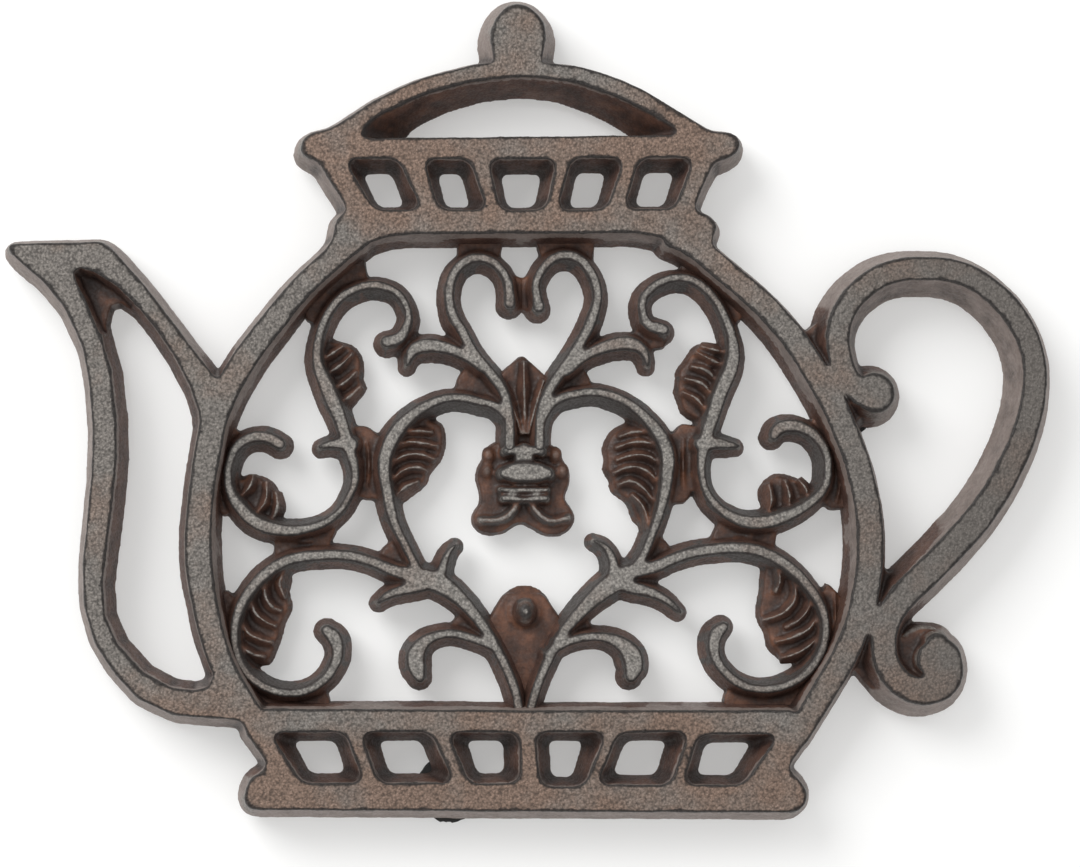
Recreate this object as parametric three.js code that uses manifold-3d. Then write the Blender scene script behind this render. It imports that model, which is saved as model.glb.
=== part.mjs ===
// A cast iron trivet in the outline of a teapot, lying flat, with rubber feet pressed on below.
// The iron is one casting. It is carried here as the bars and panels that it is drawn from, each
// a body of its own that stops a hair short of its neighbours. All sizes are in millimetres.
// X runs from the spout to the handle, Y from the foot of the pot to its knob, and Z is up.
import * as THREE from 'three';
import { mergeVertices } from 'three/addons/utils/BufferGeometryUtils.js';
import Module from 'manifold-3d';

// Overall size over the drafted lower edges, and the size that the outlines below are drawn at.
const WIDTH = 209;
const DEPTH = 164;
const DRAWN_WIDTH = 209;
const DRAWN_DEPTH = 164;

// Heights above the surface that the trivet stands on.
const IRON_BOTTOM = 4;
const FRAME_THICKNESS = 10;
const SCROLL_THICKNESS = 7;
const LEAF_THICKNESS = 5.2;
const WEB_THICKNESS = 3;

// How far each kind of side leans out from its top edge to its foot, so that it leaves the sand.
const FRAME_DRAFT = 1.8;
const HANDLE_DRAFT = 2.6;
const SCROLL_DRAFT = 1.6;
const WINDOW_SIDE_DRAFT = 3;
const WINDOW_RAIL_DRAFT = 1.9;

// Half the width of the flat on top of each bar.
const RIM_HALF = 2.3;
const HANDLE_HALF = 2.3;
const WINDOW_CORNER = 1.2;
const KNOB_WIDTH = 10.7;
const KNOB_HEIGHT = 11.3;
const KNOB_NECK_INSET = 1.2;
const KNOB_ROOT = 0.6;
const HANDLE_BALL_RADIUS = 3.8;
const HANDLE_CURL_RADIUS = 4.8;

// Rubber feet: a cup pressed over a short stud cast on the underside.
const STUD_RADIUS = 3;
const STUD_LENGTH = 2.2;
const STUD_ROOT = 1;
const FOOT_RADIUS = 6.8;
const FOOT_CLEARANCE = 0.3;
const STUDS = {
  base_band: [[-14.1, 5.1], [-50.4, 20.4]],
  knob: [[-1.3, 152.3]],
  belly_rim_right: [[64.6, 81.6]],
};

// The right half of the scrollwork mirrors the left, set a little larger, turned and moved.
const RIGHT_SCALE = 1.0165;
const RIGHT_TURN = THREE.MathUtils.degToRad(1.5);
const RIGHT_SHIFT = [2.8, -0.5];

// The gap between one body of the casting and the next, and the length of a facet on a bar.
const GAP = 0.3;
const FACET = 3.4;
const RIM_FACET = 7;

const FRAME_TOP = IRON_BOTTOM + FRAME_THICKNESS;
const SCROLL_TOP = IRON_BOTTOM + SCROLL_THICKNESS;
const LEAF_TOP = IRON_BOTTOM + LEAF_THICKNESS;

const wasm = await Module();
wasm.setup();

function solidFrom(geometry) {
  const plain = geometry.toNonIndexed();
  plain.deleteAttribute('normal');
  plain.deleteAttribute('uv');
  const merged = mergeVertices(plain);
  return new wasm.Manifold(new wasm.Mesh({
    numProp: 3,
    vertProperties: new Float32Array(merged.attributes.position.array),
    triVerts: new Uint32Array(merged.index.array),
  }));
}

function join(solids) {
  return solids.reduce((whole, solid) => whole.add(solid));
}

// Skins rings of equal length, one after the other, and closes both ends with the cap's triangles.
function skin(rings, cap) {
  const size = rings[0].length;
  const index = [];
  for (let ring = 0; ring + 1 < rings.length; ring += 1) {
    for (let i = 0; i < size; i += 1) {
      const here = ring * size + i;
      const next = ring * size + ((i + 1) % size);
      index.push(here, next, next + size, here, next + size, here + size);
    }
  }
  const last = (rings.length - 1) * size;
  for (const [a, b, c] of cap) {
    index.push(c, b, a, last + a, last + b, last + c);
  }
  const geometry = new THREE.BufferGeometry();
  geometry.setAttribute('position', new THREE.Float32BufferAttribute(rings.flat(2), 3));
  geometry.setIndex(index);
  return solidFrom(geometry);
}

// The same outline, run anticlockwise.
function anticlockwise(outline) {
  const points = outline.map(([x, y]) => new THREE.Vector2(x, y));
  return THREE.ShapeUtils.isClockWise(points) ? [...outline].reverse() : outline;
}

// Moves each edge of an anticlockwise outline outward: by one distance, or by a list, one per edge.
function offset(outline, distance) {
  const count = outline.length;
  const edges = outline.map(([x, y], i) => {
    const [nx, ny] = outline[(i + 1) % count];
    const length = Math.hypot(nx - x, ny - y);
    const out = Array.isArray(distance) ? distance[i] : distance;
    return { normal: [(ny - y) / length, (x - nx) / length], out };
  });
  return outline.map(([x, y], i) => {
    const before = edges[(i + count - 1) % count];
    const after = edges[i];
    const [ax, ay] = before.normal;
    const [bx, by] = after.normal;
    const cross = ax * by - ay * bx;
    if (Math.abs(cross) < 0.02) return [x + ax * before.out, y + ay * before.out];
    return [
      x + (before.out * by - after.out * ay) / cross,
      y + (after.out * ax - before.out * bx) / cross,
    ];
  });
}

// Rounds every corner of a plain outline with a short arc.
function rounded(corners, radius) {
  return corners.flatMap((corner, i) => {
    const here = new THREE.Vector2(...corner);
    const before = new THREE.Vector2(...corners.at(i - 1)).sub(here).normalize();
    const after = new THREE.Vector2(...corners[(i + 1) % corners.length]).sub(here).normalize();
    const reach = radius / Math.tan(Math.acos(before.dot(after)) / 2);
    const start = here.clone().addScaledVector(before, reach);
    const end = here.clone().addScaledVector(after, reach);
    const arc = new THREE.QuadraticBezierCurve(start, here, end);
    return arc.getPoints(2).map((point) => [point.x, point.y]);
  });
}

// A slab between two heights whose foot and top are given as matching outlines.
function slab(foot, top, low, high) {
  const contour = top.map(([x, y]) => new THREE.Vector2(x, y));
  const cap = THREE.ShapeUtils.triangulateShape(contour, []);
  return skin([foot.map(([x, y]) => [x, y, low]), top.map(([x, y]) => [x, y, high])], cap);
}

// A panel of the casting, from its top outline, with sides that lean out by the draft.
function panel(outline, thickness, draft, grow) {
  const drawn = anticlockwise(outline);
  const top = IRON_BOTTOM + thickness;
  return slab(offset(drawn, draft + grow), offset(drawn, grow), IRON_BOTTOM - grow, top + grow);
}

// A hole through a panel, from its outline in the panel's top face, narrowing downward.
function opening(outline, thickness, draft, grow) {
  const drawn = anticlockwise(outline);
  const over = 1;
  const slope = draft / thickness;
  const foot = offset(drawn, -draft - over * slope - grow);
  const mouth = offset(drawn, over * slope - grow);
  return slab(foot, mouth, IRON_BOTTOM - over, IRON_BOTTOM + thickness + over);
}

// One of a band's windows, from its upper left, lower left, lower right and upper right corners.
function windowHole(corners, grow) {
  const drafts = [WINDOW_SIDE_DRAFT, WINDOW_RAIL_DRAFT, WINDOW_SIDE_DRAFT, WINDOW_RAIL_DRAFT];
  const over = 1;
  const slope = over / FRAME_THICKNESS;
  const foot = offset(corners, drafts.map((draft) => -draft * (1 + slope) - grow));
  const mouth = offset(corners, drafts.map((draft) => draft * slope - grow));
  return slab(
    rounded(foot, WINDOW_CORNER / 2),
    rounded(mouth, WINDOW_CORNER),
    IRON_BOTTOM - over,
    FRAME_TOP + over,
  );
}

// A bar that follows a smooth line. Each point is x, y and half the width of the bar's top.
function bar(points, top, draft, facet, grow) {
  const line = new THREE.CatmullRomCurve3(points.map((point) => new THREE.Vector3(...point)));
  const steps = Math.max(2, Math.round(line.getLength() / facet));
  const stations = line.getSpacedPoints(steps);
  const rings = stations.map((station, i) => {
    const along = new THREE.Vector2(
      stations[Math.min(i + 1, steps)].x - stations[Math.max(i - 1, 0)].x,
      stations[Math.min(i + 1, steps)].y - stations[Math.max(i - 1, 0)].y,
    ).normalize();
    const stretch = grow * ((i === steps) - (i === 0));
    const x = station.x + along.x * stretch;
    const y = station.y + along.y * stretch;
    const across = (half, z) => [x - along.y * half, y + along.x * half, z];
    const wide = station.z + draft + grow;
    const narrow = station.z + grow;
    return [
      across(-wide, IRON_BOTTOM - grow),
      across(wide, IRON_BOTTOM - grow),
      across(narrow, top + grow),
      across(-narrow, top + grow),
    ];
  });
  return skin(rings, [[0, 1, 2], [0, 2, 3]]);
}

// A round boss with leaning sides.
function boss([x, y], radius, top, draft, grow) {
  const height = top - IRON_BOTTOM + 2 * grow;
  const round = new THREE.CylinderGeometry(radius + grow, radius + draft + grow, height, 14);
  round.rotateX(Math.PI / 2);
  round.translate(x, y, IRON_BOTTOM - grow + height / 2);
  return solidFrom(round);
}

function studs(name, grow) {
  const height = STUD_LENGTH + STUD_ROOT + 2 * grow;
  return join(STUDS[name].map((spot) => {
    const [x, y] = placed(spot);
    const round = new THREE.CylinderGeometry(STUD_RADIUS + grow, STUD_RADIUS + grow, height, 16);
    round.rotateX(Math.PI / 2);
    round.translate(x, y, IRON_BOTTOM - STUD_LENGTH - grow + height / 2);
    return solidFrom(round);
  }));
}

// Takes a drawn point to its place, for the overall size chosen. A bar's width is left alone.
function placed([x, y, ...width]) {
  return [(x * WIDTH) / DRAWN_WIDTH, (y * DEPTH) / DRAWN_DEPTH, ...width];
}

// Takes a point of the left scrollwork to the side wanted.
function sided(side, [x, y, ...width]) {
  if (side === 'left') return placed([x, y, ...width]);
  const turned = new THREE.Vector2(-x, y).rotateAround(new THREE.Vector2(), RIGHT_TURN);
  turned.multiplyScalar(RIGHT_SCALE);
  return placed([turned.x + RIGHT_SHIFT[0], turned.y + RIGHT_SHIFT[1], ...width]);
}

function sidedOutline(side, outline) {
  return outline.map((point) => sided(side, point));
}

// ---- The frame: foot band, lid, belly rims, knob, spout and handle ----

const BASE_OUTLINE = [
  [-54.3, 3.5], [-53.4, 1.8], [-51.5, 1.4], [0, 1], [53.4, 0.7], [55.2, 2.3], [55.6, 4.6],
  [54.6, 6.4], [52.4, 8.6], [52.2, 10], [56.6, 16], [53.5, 20.6], [0, 20.6], [-51.5, 20.9],
  [-54.5, 17], [-50.3, 11.2], [-50, 10], [-50.8, 8.7], [-53.2, 7.2],
];
const BASE_WINDOWS = [
  [[-49.3, 16.3], [-43.2, 6.4], [-30.8, 6.6], [-34.5, 16.5]],
  [[-31.8, 16.4], [-28.3, 6.4], [-13.3, 6.5], [-17.8, 16.5]],
  [[-14.8, 16.4], [-10.6, 6.3], [-0.4, 6.5], [-0.6, 16.4]],
  [[2.2, 16.4], [3.2, 5.8], [12, 5.7], [16.4, 16.4]],
  [[18.6, 16.4], [14.3, 6.2], [28.9, 6], [32.6, 16.4]],
  [[34.2, 16], [31.2, 6.1], [43.2, 6], [50.2, 16]],
];

const LID_OUTLINE = [
  [-36.4, 112.2], [-30.5, 113.4], [-24, 114.1], [22, 114.7], [29, 113.7], [36.6, 111.6],
  [38.4, 116.3], [36.8, 118], [33.9, 119.2], [36.4, 126], [38, 129], [42.3, 130.8],
  [43, 132.8], [41.5, 134.6], [37.2, 134.9], [30, 139.4], [20, 144.9], [10, 147.9],
  [-1, 148.9], [-10, 147.9], [-20, 145.1], [-30, 140.3], [-38.4, 134.6], [-42.6, 133.6],
  [-43.9, 131], [-40.2, 128.2], [-34.9, 119.4], [-36.8, 117],
];
const LID_ARCH_HOLE = [
  [-33.2, 133.1], [0, 133.7], [32.1, 134.3], [20, 141.4], [10, 144.9], [0, 145.8],
  [-10, 144.8], [-20, 142], [-30, 137.2],
];
const LID_WINDOWS = [
  [[-35.3, 129], [-29.5, 118.8], [-20, 119], [-24.6, 129.2]],
  [[-19.9, 129.1], [-16.6, 118.9], [-7, 119], [-10.6, 129.3]],
  [[-7, 129.2], [-4.6, 118.8], [4.6, 119.2], [6.8, 129.3]],
  [[9.4, 129.6], [6.6, 119], [16.6, 119.3], [20, 129.7]],
  [[23, 129.7], [19.7, 119.4], [30, 119.4], [33.9, 129.8]],
];

const BELLY_LEFT = [
  [-33.5, 112.8], [-40, 106.8], [-48.5, 97.5], [-55.5, 87.8], [-60.3, 79], [-61.7, 71],
  [-63.1, 61], [-63.4, 51], [-62, 41], [-59.3, 31], [-55.5, 23.5], [-51.5, 17.6],
];
const BELLY_RIGHT = [
  [33, 112.6], [39.8, 107.3], [50.3, 97.7], [58.2, 86.6], [64, 74.7], [67.4, 63.5],
  [68.4, 53], [67.2, 42.5], [64, 33], [58.6, 23.6], [53.8, 16.8],
];

const SPOUT_OUTLINE = [
  [-53.5, 18.2], [-57.5, 26], [-61.5, 34], [-63.2, 52], [-61.4, 74], [-57.4, 84.6],
  [-59.6, 84.8], [-70, 98], [-80.5, 110.5], [-83, 112.2], [-100.6, 111.6], [-101, 110.1],
  [-94.5, 104.8], [-90, 99.5], [-86.2, 91.5], [-84.4, 83], [-84.1, 75], [-84.6, 63],
  [-85.8, 49], [-85.3, 40.5], [-82.8, 32.6], [-77.5, 25.4], [-69.5, 20.3], [-62, 19.2],
  [-57.5, 19],
];
const SPOUT_HOLE = [
  [-60.4, 26.4], [-62.2, 34], [-64, 44], [-64.4, 60], [-62.4, 74], [-62.6, 78.6],
  [-65, 83.5], [-72, 95.3], [-80, 103.8], [-86.6, 106.8], [-88, 105.6], [-85.5, 99.5],
  [-81.2, 88], [-79.6, 75], [-80.4, 61], [-82, 46], [-81.2, 38], [-76.4, 30.2],
  [-70, 25.6], [-63.4, 24.4],
];

const HANDLE = [
  [65.6, 83.6], [62.7, 89.5], [62.6, 96.5], [67.6, 104.3], [79.5, 107.9], [92.8, 103.8],
  [100.5, 93], [99.9, 77], [91, 60.3], [79, 46.8], [73, 38.5], [72.4, 31], [76.6, 25.8],
  [81.5, 25.6],
];
const HANDLE_BALL = [69.5, 83.2];
const HANDLE_CURL = [81.2, 30.4];
const HANDLE_WEB_ABOVE = [
  [64.6, 74.6], [69, 80], [64.6, 90], [63, 101], [56.5, 95.5], [59, 88],
];
const HANDLE_WEB_BELOW = [
  [65.2, 29.5], [69.5, 24.5], [73.5, 28], [73, 38], [77, 44.5], [72, 48.4], [68.6, 46], [67, 38],
];

function baseBand(grow) {
  const band = panel(BASE_OUTLINE.map(placed), FRAME_THICKNESS, FRAME_DRAFT, grow);
  const windows = BASE_WINDOWS.map((corners) => windowHole(corners.map(placed), grow));
  return band.subtract(join(windows)).add(studs('base_band', grow));
}

function lid(grow) {
  const plate = panel(LID_OUTLINE.map(placed), FRAME_THICKNESS, FRAME_DRAFT, grow);
  const arch = opening(LID_ARCH_HOLE.map(placed), FRAME_THICKNESS, FRAME_DRAFT, grow);
  const windows = LID_WINDOWS.map((corners) => windowHole(corners.map(placed), grow));
  return plate.subtract(join([arch, ...windows]));
}

function bellyRim(points, grow) {
  const line = points.map((point) => [...placed(point), RIM_HALF]);
  return bar(line, FRAME_TOP, FRAME_DRAFT, RIM_FACET, grow);
}

// The knob stands on the lid's arch: a short neck, set into the arch, under a round head.
function knob(grow) {
  const [x, archTop] = placed([-1, 148.9]);
  const half = KNOB_WIDTH / 2;
  const head = archTop + KNOB_HEIGHT - half;
  const neck = half - KNOB_NECK_INSET;
  const outline = [[x + neck, archTop - KNOB_ROOT]];
  const arc = 8;
  for (let i = 0; i <= arc; i += 1) {
    const angle = (Math.PI * i) / arc;
    outline.push([x + half * Math.cos(angle), head + half * Math.sin(angle)]);
  }
  outline.push([x - neck, archTop - KNOB_ROOT]);
  return panel(outline, FRAME_THICKNESS, HANDLE_DRAFT, grow).add(studs('knob', grow));
}

function spout(grow) {
  const plate = panel(SPOUT_OUTLINE.map(placed), FRAME_THICKNESS, FRAME_DRAFT, grow);
  const hole = opening(SPOUT_HOLE.map(placed), FRAME_THICKNESS, FRAME_DRAFT, grow);
  return plate.subtract(hole);
}

function handle(grow) {
  const line = HANDLE.map((point) => [...placed(point), HANDLE_HALF]);
  return join([
    bar(line, FRAME_TOP, HANDLE_DRAFT, FACET * 1.5, grow),
    boss(placed(HANDLE_BALL), HANDLE_BALL_RADIUS, FRAME_TOP, HANDLE_DRAFT, grow),
    boss(placed(HANDLE_CURL), HANDLE_CURL_RADIUS, FRAME_TOP, HANDLE_DRAFT, grow),
    panel(HANDLE_WEB_ABOVE.map(placed), WEB_THICKNESS, 0.3, grow),
    panel(HANDLE_WEB_BELOW.map(placed), WEB_THICKNESS, 0.3, grow),
  ]);
}

// ---- The scrollwork, drawn for the left half ----
// bars: lines of x, y and half the top width. leaves and webs: outlines of low panels.

const SCROLLS = {
  trunk: {
    bars: [
      [[-0.6, 20.9, 1], [-3, 28.5, 1], [-7, 36, 1.2], [-12, 42.3, 1.5], [-17.5, 46.3, 2.2]],
      [
        [-17.5, 46.3, 2.2], [-25, 47.9, 1.6], [-34.4, 50.9, 1.1], [-43, 50.7, 1.2],
        [-50.5, 47.3, 1.2], [-55.4, 40.5, 1], [-56, 32, 0.9], [-51.4, 25.8, 0.8],
        [-44.5, 24, 0.9], [-38.6, 26.8, 0.9], [-36.2, 32, 1], [-38.4, 36.6, 1.4],
      ],
      [[-16.5, 46, 1.6], [-15.6, 49, 1], [-13.8, 52.6, 0.5]],
      [[-19, 46, 1.8], [-24.2, 43.8, 1.1], [-29, 41.2, 0.5]],
      [[-6, 33.2, 0.9], [-12, 35.3, 0.9], [-17.6, 34.6, 1.2], [-20.6, 31, 2], [-20.4, 28.2, 1.9]],
    ],
    leaves: [[
      [-50.5, 28.4], [-47.5, 34], [-46.5, 38], [-44.8, 41], [-46, 43.5], [-45.6, 49.5],
      [-50.5, 47], [-55, 40], [-55.5, 31.5],
    ]],
    webs: [
      [[-52.5, 20], [-38.2, 20], [-37.6, 23], [-40.4, 26], [-46, 24.4], [-50.5, 26], [-54.6, 23]],
      [[-57.2, 26], [-51.5, 26], [-55.4, 32], [-55.6, 41], [-58.2, 44.5], [-61.5, 40]],
      [[-6.6, 33.8], [-12.4, 35.6], [-14, 38], [-10.6, 40.2]],
    ],
  },
  c_scroll: {
    bars: [
      [
        [-26, 93.6, 1.3], [-22.9, 96.6, 0.9], [-24, 102, 0.8], [-30.2, 104.3, 0.9],
        [-36.6, 101, 0.9], [-40, 94.4, 0.9], [-40.2, 88, 1.2], [-37.4, 81.3, 1.7],
        [-35.1, 75.3, 1.5], [-33.3, 69, 1],
      ],
      [[-34.6, 73, 1.4], [-37.5, 72.6, 0.9], [-39.8, 71.9, 0.4]],
    ],
    leaves: [[
      [-35.4, 77.5], [-33.4, 80.5], [-30.3, 84.5], [-31.4, 87], [-31.6, 91], [-33.6, 93.2],
      [-38.6, 95], [-40, 88],
    ]],
    webs: [
      [[-42.6, 97.4], [-39, 97.6], [-36.2, 102], [-30.6, 105.2], [-31.6, 108.4], [-34.4, 108.4]],
      [[-25.4, 91.4], [-24.6, 93.6], [-24.6, 95.3], [-28.2, 94.8]],
      [[-33.4, 67], [-28, 66], [-28, 74.6], [-31.2, 77], [-35, 76]],
    ],
  },
  ring_scroll: {
    bars: [[
      [-47.9, 72.9, 1.2], [-51.9, 74.3, 1.3], [-56.4, 71.9, 1], [-57.9, 66.4, 0.9],
      [-55.3, 60.1, 1.4], [-49.4, 56.3, 1.4], [-42.1, 56.3, 1], [-36.1, 59.5, 0.7],
      [-33.2, 65.2, 0.8], [-33.4, 70, 1],
    ]],
    leaves: [[
      [-46.4, 57.2], [-47.8, 61], [-48, 64.5], [-50, 66.5], [-53.5, 67.5], [-57, 66.6],
      [-55.6, 61.4], [-51, 57.4],
    ]],
    webs: [
      [[-58.4, 58.6], [-56.8, 62], [-57.2, 70], [-55, 74.2], [-58.8, 79], [-62.6, 70]],
      [[-48.6, 50.4], [-38, 50.6], [-38.2, 53.6], [-36.4, 56.4], [-41, 56.6], [-48.6, 56.8]],
    ],
  },
  inner_scroll: {
    bars: [[
      [-3.3, 78.4, 1], [-8.4, 81.4, 0.9], [-14.8, 82, 0.9], [-20.6, 79.6, 1.2],
      [-25.6, 74.2, 1.6], [-27.3, 67.6, 1.3], [-26.2, 60.7, 1.2], [-23.3, 53.5, 0.9],
      [-20.4, 48.6, 1.1],
    ]],
    leaves: [[
      [-25.8, 61.4], [-21.6, 63], [-18.6, 65.1], [-18.2, 67.2], [-15.7, 70.2], [-14.8, 73.2],
      [-15.6, 77], [-20, 79], [-25.4, 74], [-27, 67],
    ]],
    webs: [[[-31.8, 62.4], [-26.8, 62.4], [-27.4, 66.6], [-27, 70], [-33, 68]]],
  },
  heart_curl: {
    bars: [
      [
        [-2.4, 101.6, 1.2], [-3.2, 106, 1], [-6.7, 109.5, 1], [-11.6, 108.9, 1],
        [-14.4, 103.4, 1], [-13.4, 97.8, 1.1], [-9.8, 91.4, 1.2], [-4.3, 84.2, 1.2],
        [-2.6, 78.4, 1.2], [-2.4, 73.6, 1.2],
      ],
      [[-9, 89, 1.2], [-13.1, 91.3, 1.3], [-18.6, 92.4, 1.7], [-21.8, 91.4, 1.4], [-22.8, 88.6, 0.6]],
    ],
    leaves: [],
    webs: [
      [[-12.6, 108], [-5, 108.6], [-3.7, 113.4], [-12.6, 113.4]],
      [[-4.6, 100.4], [0.2, 99.4], [0.2, 106.6], [-3.2, 106.8]],
      [[-24, 91.4], [-19, 91.6], [-20.8, 94.4], [-23.4, 95.6], [-24.4, 95.3]],
      [[-5.4, 81.2], [-13.2, 82.6], [-12.6, 86.6], [-9.4, 90]],
    ],
  },
};

function scroll(side, { bars, leaves, webs }, grow) {
  const lines = bars.map((points) => points.map((point) => sided(side, point)));
  return join([
    ...lines.map((points) => bar(points, SCROLL_TOP, SCROLL_DRAFT, FACET, grow)),
    ...lines.map((points) => points.at(-1)).map(([x, y, half]) => (
      boss([x, y], half, SCROLL_TOP, SCROLL_DRAFT, grow))),
    ...leaves.map((outline) => panel(sidedOutline(side, outline), LEAF_THICKNESS, 0.6, grow)),
    ...webs.map((outline) => panel(sidedOutline(side, outline), WEB_THICKNESS, 0.3, grow)),
  ]);
}

// ---- The middle: a fluted fan over a small urn with two drops, and a bud lower down ----

const FAN = [[-1.4, 74.2], [2.4, 74.2], [4, 80], [6.2, 85.6], [4, 87], [0.1, 91], [-4.2, 87], [-5.6, 85]];
const URN = [
  [-8.2, 63.6], [-3, 59.4], [0.3, 58.8], [4, 59.4], [8.4, 63.6], [9.2, 66.6], [7.4, 70.4],
  [5.4, 73], [-5, 73], [-7, 71], [-8.6, 67.4],
];
const URN_TIERS = [
  { centre: [0.4, 72], size: [7, 1.6], top: SCROLL_TOP },
  { centre: [0.6, 67.4], size: [10.6, 3.6], top: SCROLL_TOP + 1 },
  { centre: [0.4, 63.2], size: [8.6, 1.6], top: SCROLL_TOP },
];
const URN_DROPS = [[-5.9, 59.2], [6.6, 59.2]];
const DROP_RADIUS = 3;
const BUD = [0.6, 40];
const BUD_RADIUS = 2.6;
const BUD_DRAFT = 2.8;
const BUD_WEB = [[0.6, 22], [4, 27], [9, 36.4], [4.2, 42], [-3.4, 42], [-7.6, 36.4], [-2.6, 27]];

function fan(grow) {
  return panel(FAN.map(placed), LEAF_THICKNESS, 0.6, grow);
}

function urn(grow) {
  const tiers = URN_TIERS.map(({ centre, size, top }) => {
    const [x, y] = placed(centre);
    const [half, rise] = [size[0] / 2, size[1] / 2];
    const outline = [[x - half, y - rise], [x + half, y - rise], [x + half, y + rise], [x - half, y + rise]];
    return panel(outline, top - IRON_BOTTOM, SCROLL_DRAFT, grow);
  });
  const drops = URN_DROPS.map((drop) => boss(placed(drop), DROP_RADIUS, LEAF_TOP, SCROLL_DRAFT, grow));
  return join([panel(URN.map(placed), LEAF_THICKNESS, 0.6, grow), ...tiers, ...drops]);
}

function bud(grow) {
  const web = panel(BUD_WEB.map(placed), WEB_THICKNESS, 0.3, grow);
  return web.add(boss(placed(BUD), BUD_RADIUS, SCROLL_TOP, BUD_DRAFT, grow));
}

// ---- The rubber feet ----

// A cup turned about its own axis: a full sole, and a wall that the stud is pressed into.
function footCap() {
  const boreRadius = STUD_RADIUS + FOOT_CLEARANCE;
  const rim = IRON_BOTTOM - FOOT_CLEARANCE;
  const boreFloor = IRON_BOTTOM - STUD_LENGTH - FOOT_CLEARANCE;
  const profile = [
    [0, 0], [FOOT_RADIUS - 0.6, 0], [FOOT_RADIUS, 0.6], [FOOT_RADIUS - 0.3, rim],
    [boreRadius, rim], [boreRadius, boreFloor], [0, boreFloor],
  ];
  const cup = new THREE.LatheGeometry(profile.map(([r, z]) => new THREE.Vector2(r, z)), 24);
  cup.rotateX(Math.PI / 2);
  return solidFrom(cup);
}

// ---- Putting it together ----

const SIDES = ['left', 'right'];
const regions = [
  { name: 'base_band', shape: baseBand },
  { name: 'lid', shape: lid },
  { name: 'belly_rim_left', shape: (grow) => bellyRim(BELLY_LEFT, grow) },
  {
    name: 'belly_rim_right',
    shape: (grow) => bellyRim(BELLY_RIGHT, grow).add(studs('belly_rim_right', grow)),
  },
  { name: 'knob', shape: knob },
  { name: 'spout', shape: spout },
  { name: 'handle', shape: handle },
  ...Object.entries(SCROLLS).flatMap(([name, drawing]) => SIDES.map((side) => (
    { name: `${name}_${side}`, shape: (grow) => scroll(side, drawing, grow) }))),
  { name: 'fan', shape: fan },
  { name: 'urn', shape: urn },
  { name: 'bud', shape: bud },
];

function ironMaterial() {
  return new THREE.MeshStandardMaterial({ color: 0x5f5650, roughness: 0.72, metalness: 0.55 });
}

function rubberMaterial() {
  return new THREE.MeshStandardMaterial({ color: 0x141414, roughness: 0.85, metalness: 0 });
}

function meshFrom(name, solid, material) {
  const { numProp, vertProperties, triVerts } = solid.getMesh();
  const geometry = new THREE.BufferGeometry();
  geometry.setAttribute('position', new THREE.BufferAttribute(vertProperties, numProp));
  geometry.setIndex(new THREE.BufferAttribute(triVerts, 1));
  geometry.computeVertexNormals();
  const mesh = new THREE.Mesh(geometry, material);
  mesh.name = name;
  return mesh;
}

const trivet = new THREE.Group();

// Each body gives way to the ones before it, so that no two share any space.
const taken = [];
for (const { name, shape } of regions) {
  const solid = taken.reduce((rest, neighbour) => rest.subtract(neighbour), shape(0));
  trivet.add(meshFrom(name, solid, ironMaterial()));
  taken.push(shape(GAP));
}

Object.values(STUDS).flat().forEach((spot, i) => {
  const foot = meshFrom(`foot_cap_${i + 1}`, footCap(), rubberMaterial());
  foot.position.set(...placed(spot), 0);
  trivet.add(foot);
});

// The origin is under the middle of the trivet, on the surface that it stands on.
trivet.updateMatrixWorld(true);
const middle = new THREE.Box3().setFromObject(trivet, true).getCenter(new THREE.Vector3());
trivet.children.forEach((piece) => piece.position.sub(new THREE.Vector3(middle.x, middle.y, 0)));

export default trivet;
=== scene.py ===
# %% [markdown]
# # A cast iron trivet in the outline of a teapot
# The real object is one piece of grey iron, poured in a sand mould, with rubber feet pushed onto
# short studs under it. Only one foot shows past the iron, and that there are four is a guess.
# A flat frame draws the pot: foot band, belly, lid, knob, spout and handle. Inside the belly runs
# mirrored scrollwork with leaves, a fan and a small urn.
# Everything leans: each side of the iron is wider at its foot than on top, or the pattern
# would never have come out of the sand. That lean is the key to the look, so each bar below is
# made from a leaning section, and the whole is then melted together as the iron was.
#
# The first cell loads the fixed frame of the part and keeps its box.

# %% The frame of the part
import math
import random

import bmesh
import bpy
import numpy as np
from mathutils import Matrix, Vector
from mathutils.bvhtree import BVHTree


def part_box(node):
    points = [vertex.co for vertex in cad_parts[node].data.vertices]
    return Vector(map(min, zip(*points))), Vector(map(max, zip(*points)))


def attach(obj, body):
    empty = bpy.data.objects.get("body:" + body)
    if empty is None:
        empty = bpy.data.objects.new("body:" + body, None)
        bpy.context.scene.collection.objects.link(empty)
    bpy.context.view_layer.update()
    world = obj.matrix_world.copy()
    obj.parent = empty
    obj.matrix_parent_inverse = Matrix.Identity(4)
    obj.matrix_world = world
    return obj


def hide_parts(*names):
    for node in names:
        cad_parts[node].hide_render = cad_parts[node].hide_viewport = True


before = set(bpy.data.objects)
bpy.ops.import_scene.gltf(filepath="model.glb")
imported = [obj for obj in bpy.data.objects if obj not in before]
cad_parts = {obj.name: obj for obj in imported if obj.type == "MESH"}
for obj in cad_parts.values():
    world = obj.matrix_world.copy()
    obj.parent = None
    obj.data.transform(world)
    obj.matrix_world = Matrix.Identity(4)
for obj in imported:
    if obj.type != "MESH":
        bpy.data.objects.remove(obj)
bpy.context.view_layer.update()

# %% [markdown]
# The drawing is in millimetres, on the pot's own centre line, with Y up from the foot of the pot.
# The part's frame has another origin, so one known thing ties them together: the rubber foot
# under the foot band. Its box in the frame and its place in the drawing give the shift.
# Modelling at one unit to the millimetre and shrinking the finished piece keeps the numbers
# readable. The height of the frame's top is read from its box, the other heights are set here.
# A draft is how far a side leans out from the top of the iron to its bottom.

# %% Units, heights and drafts
MM = 0.001
FOOT_IN_DRAWING = (-14.1, 5.1)

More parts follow.
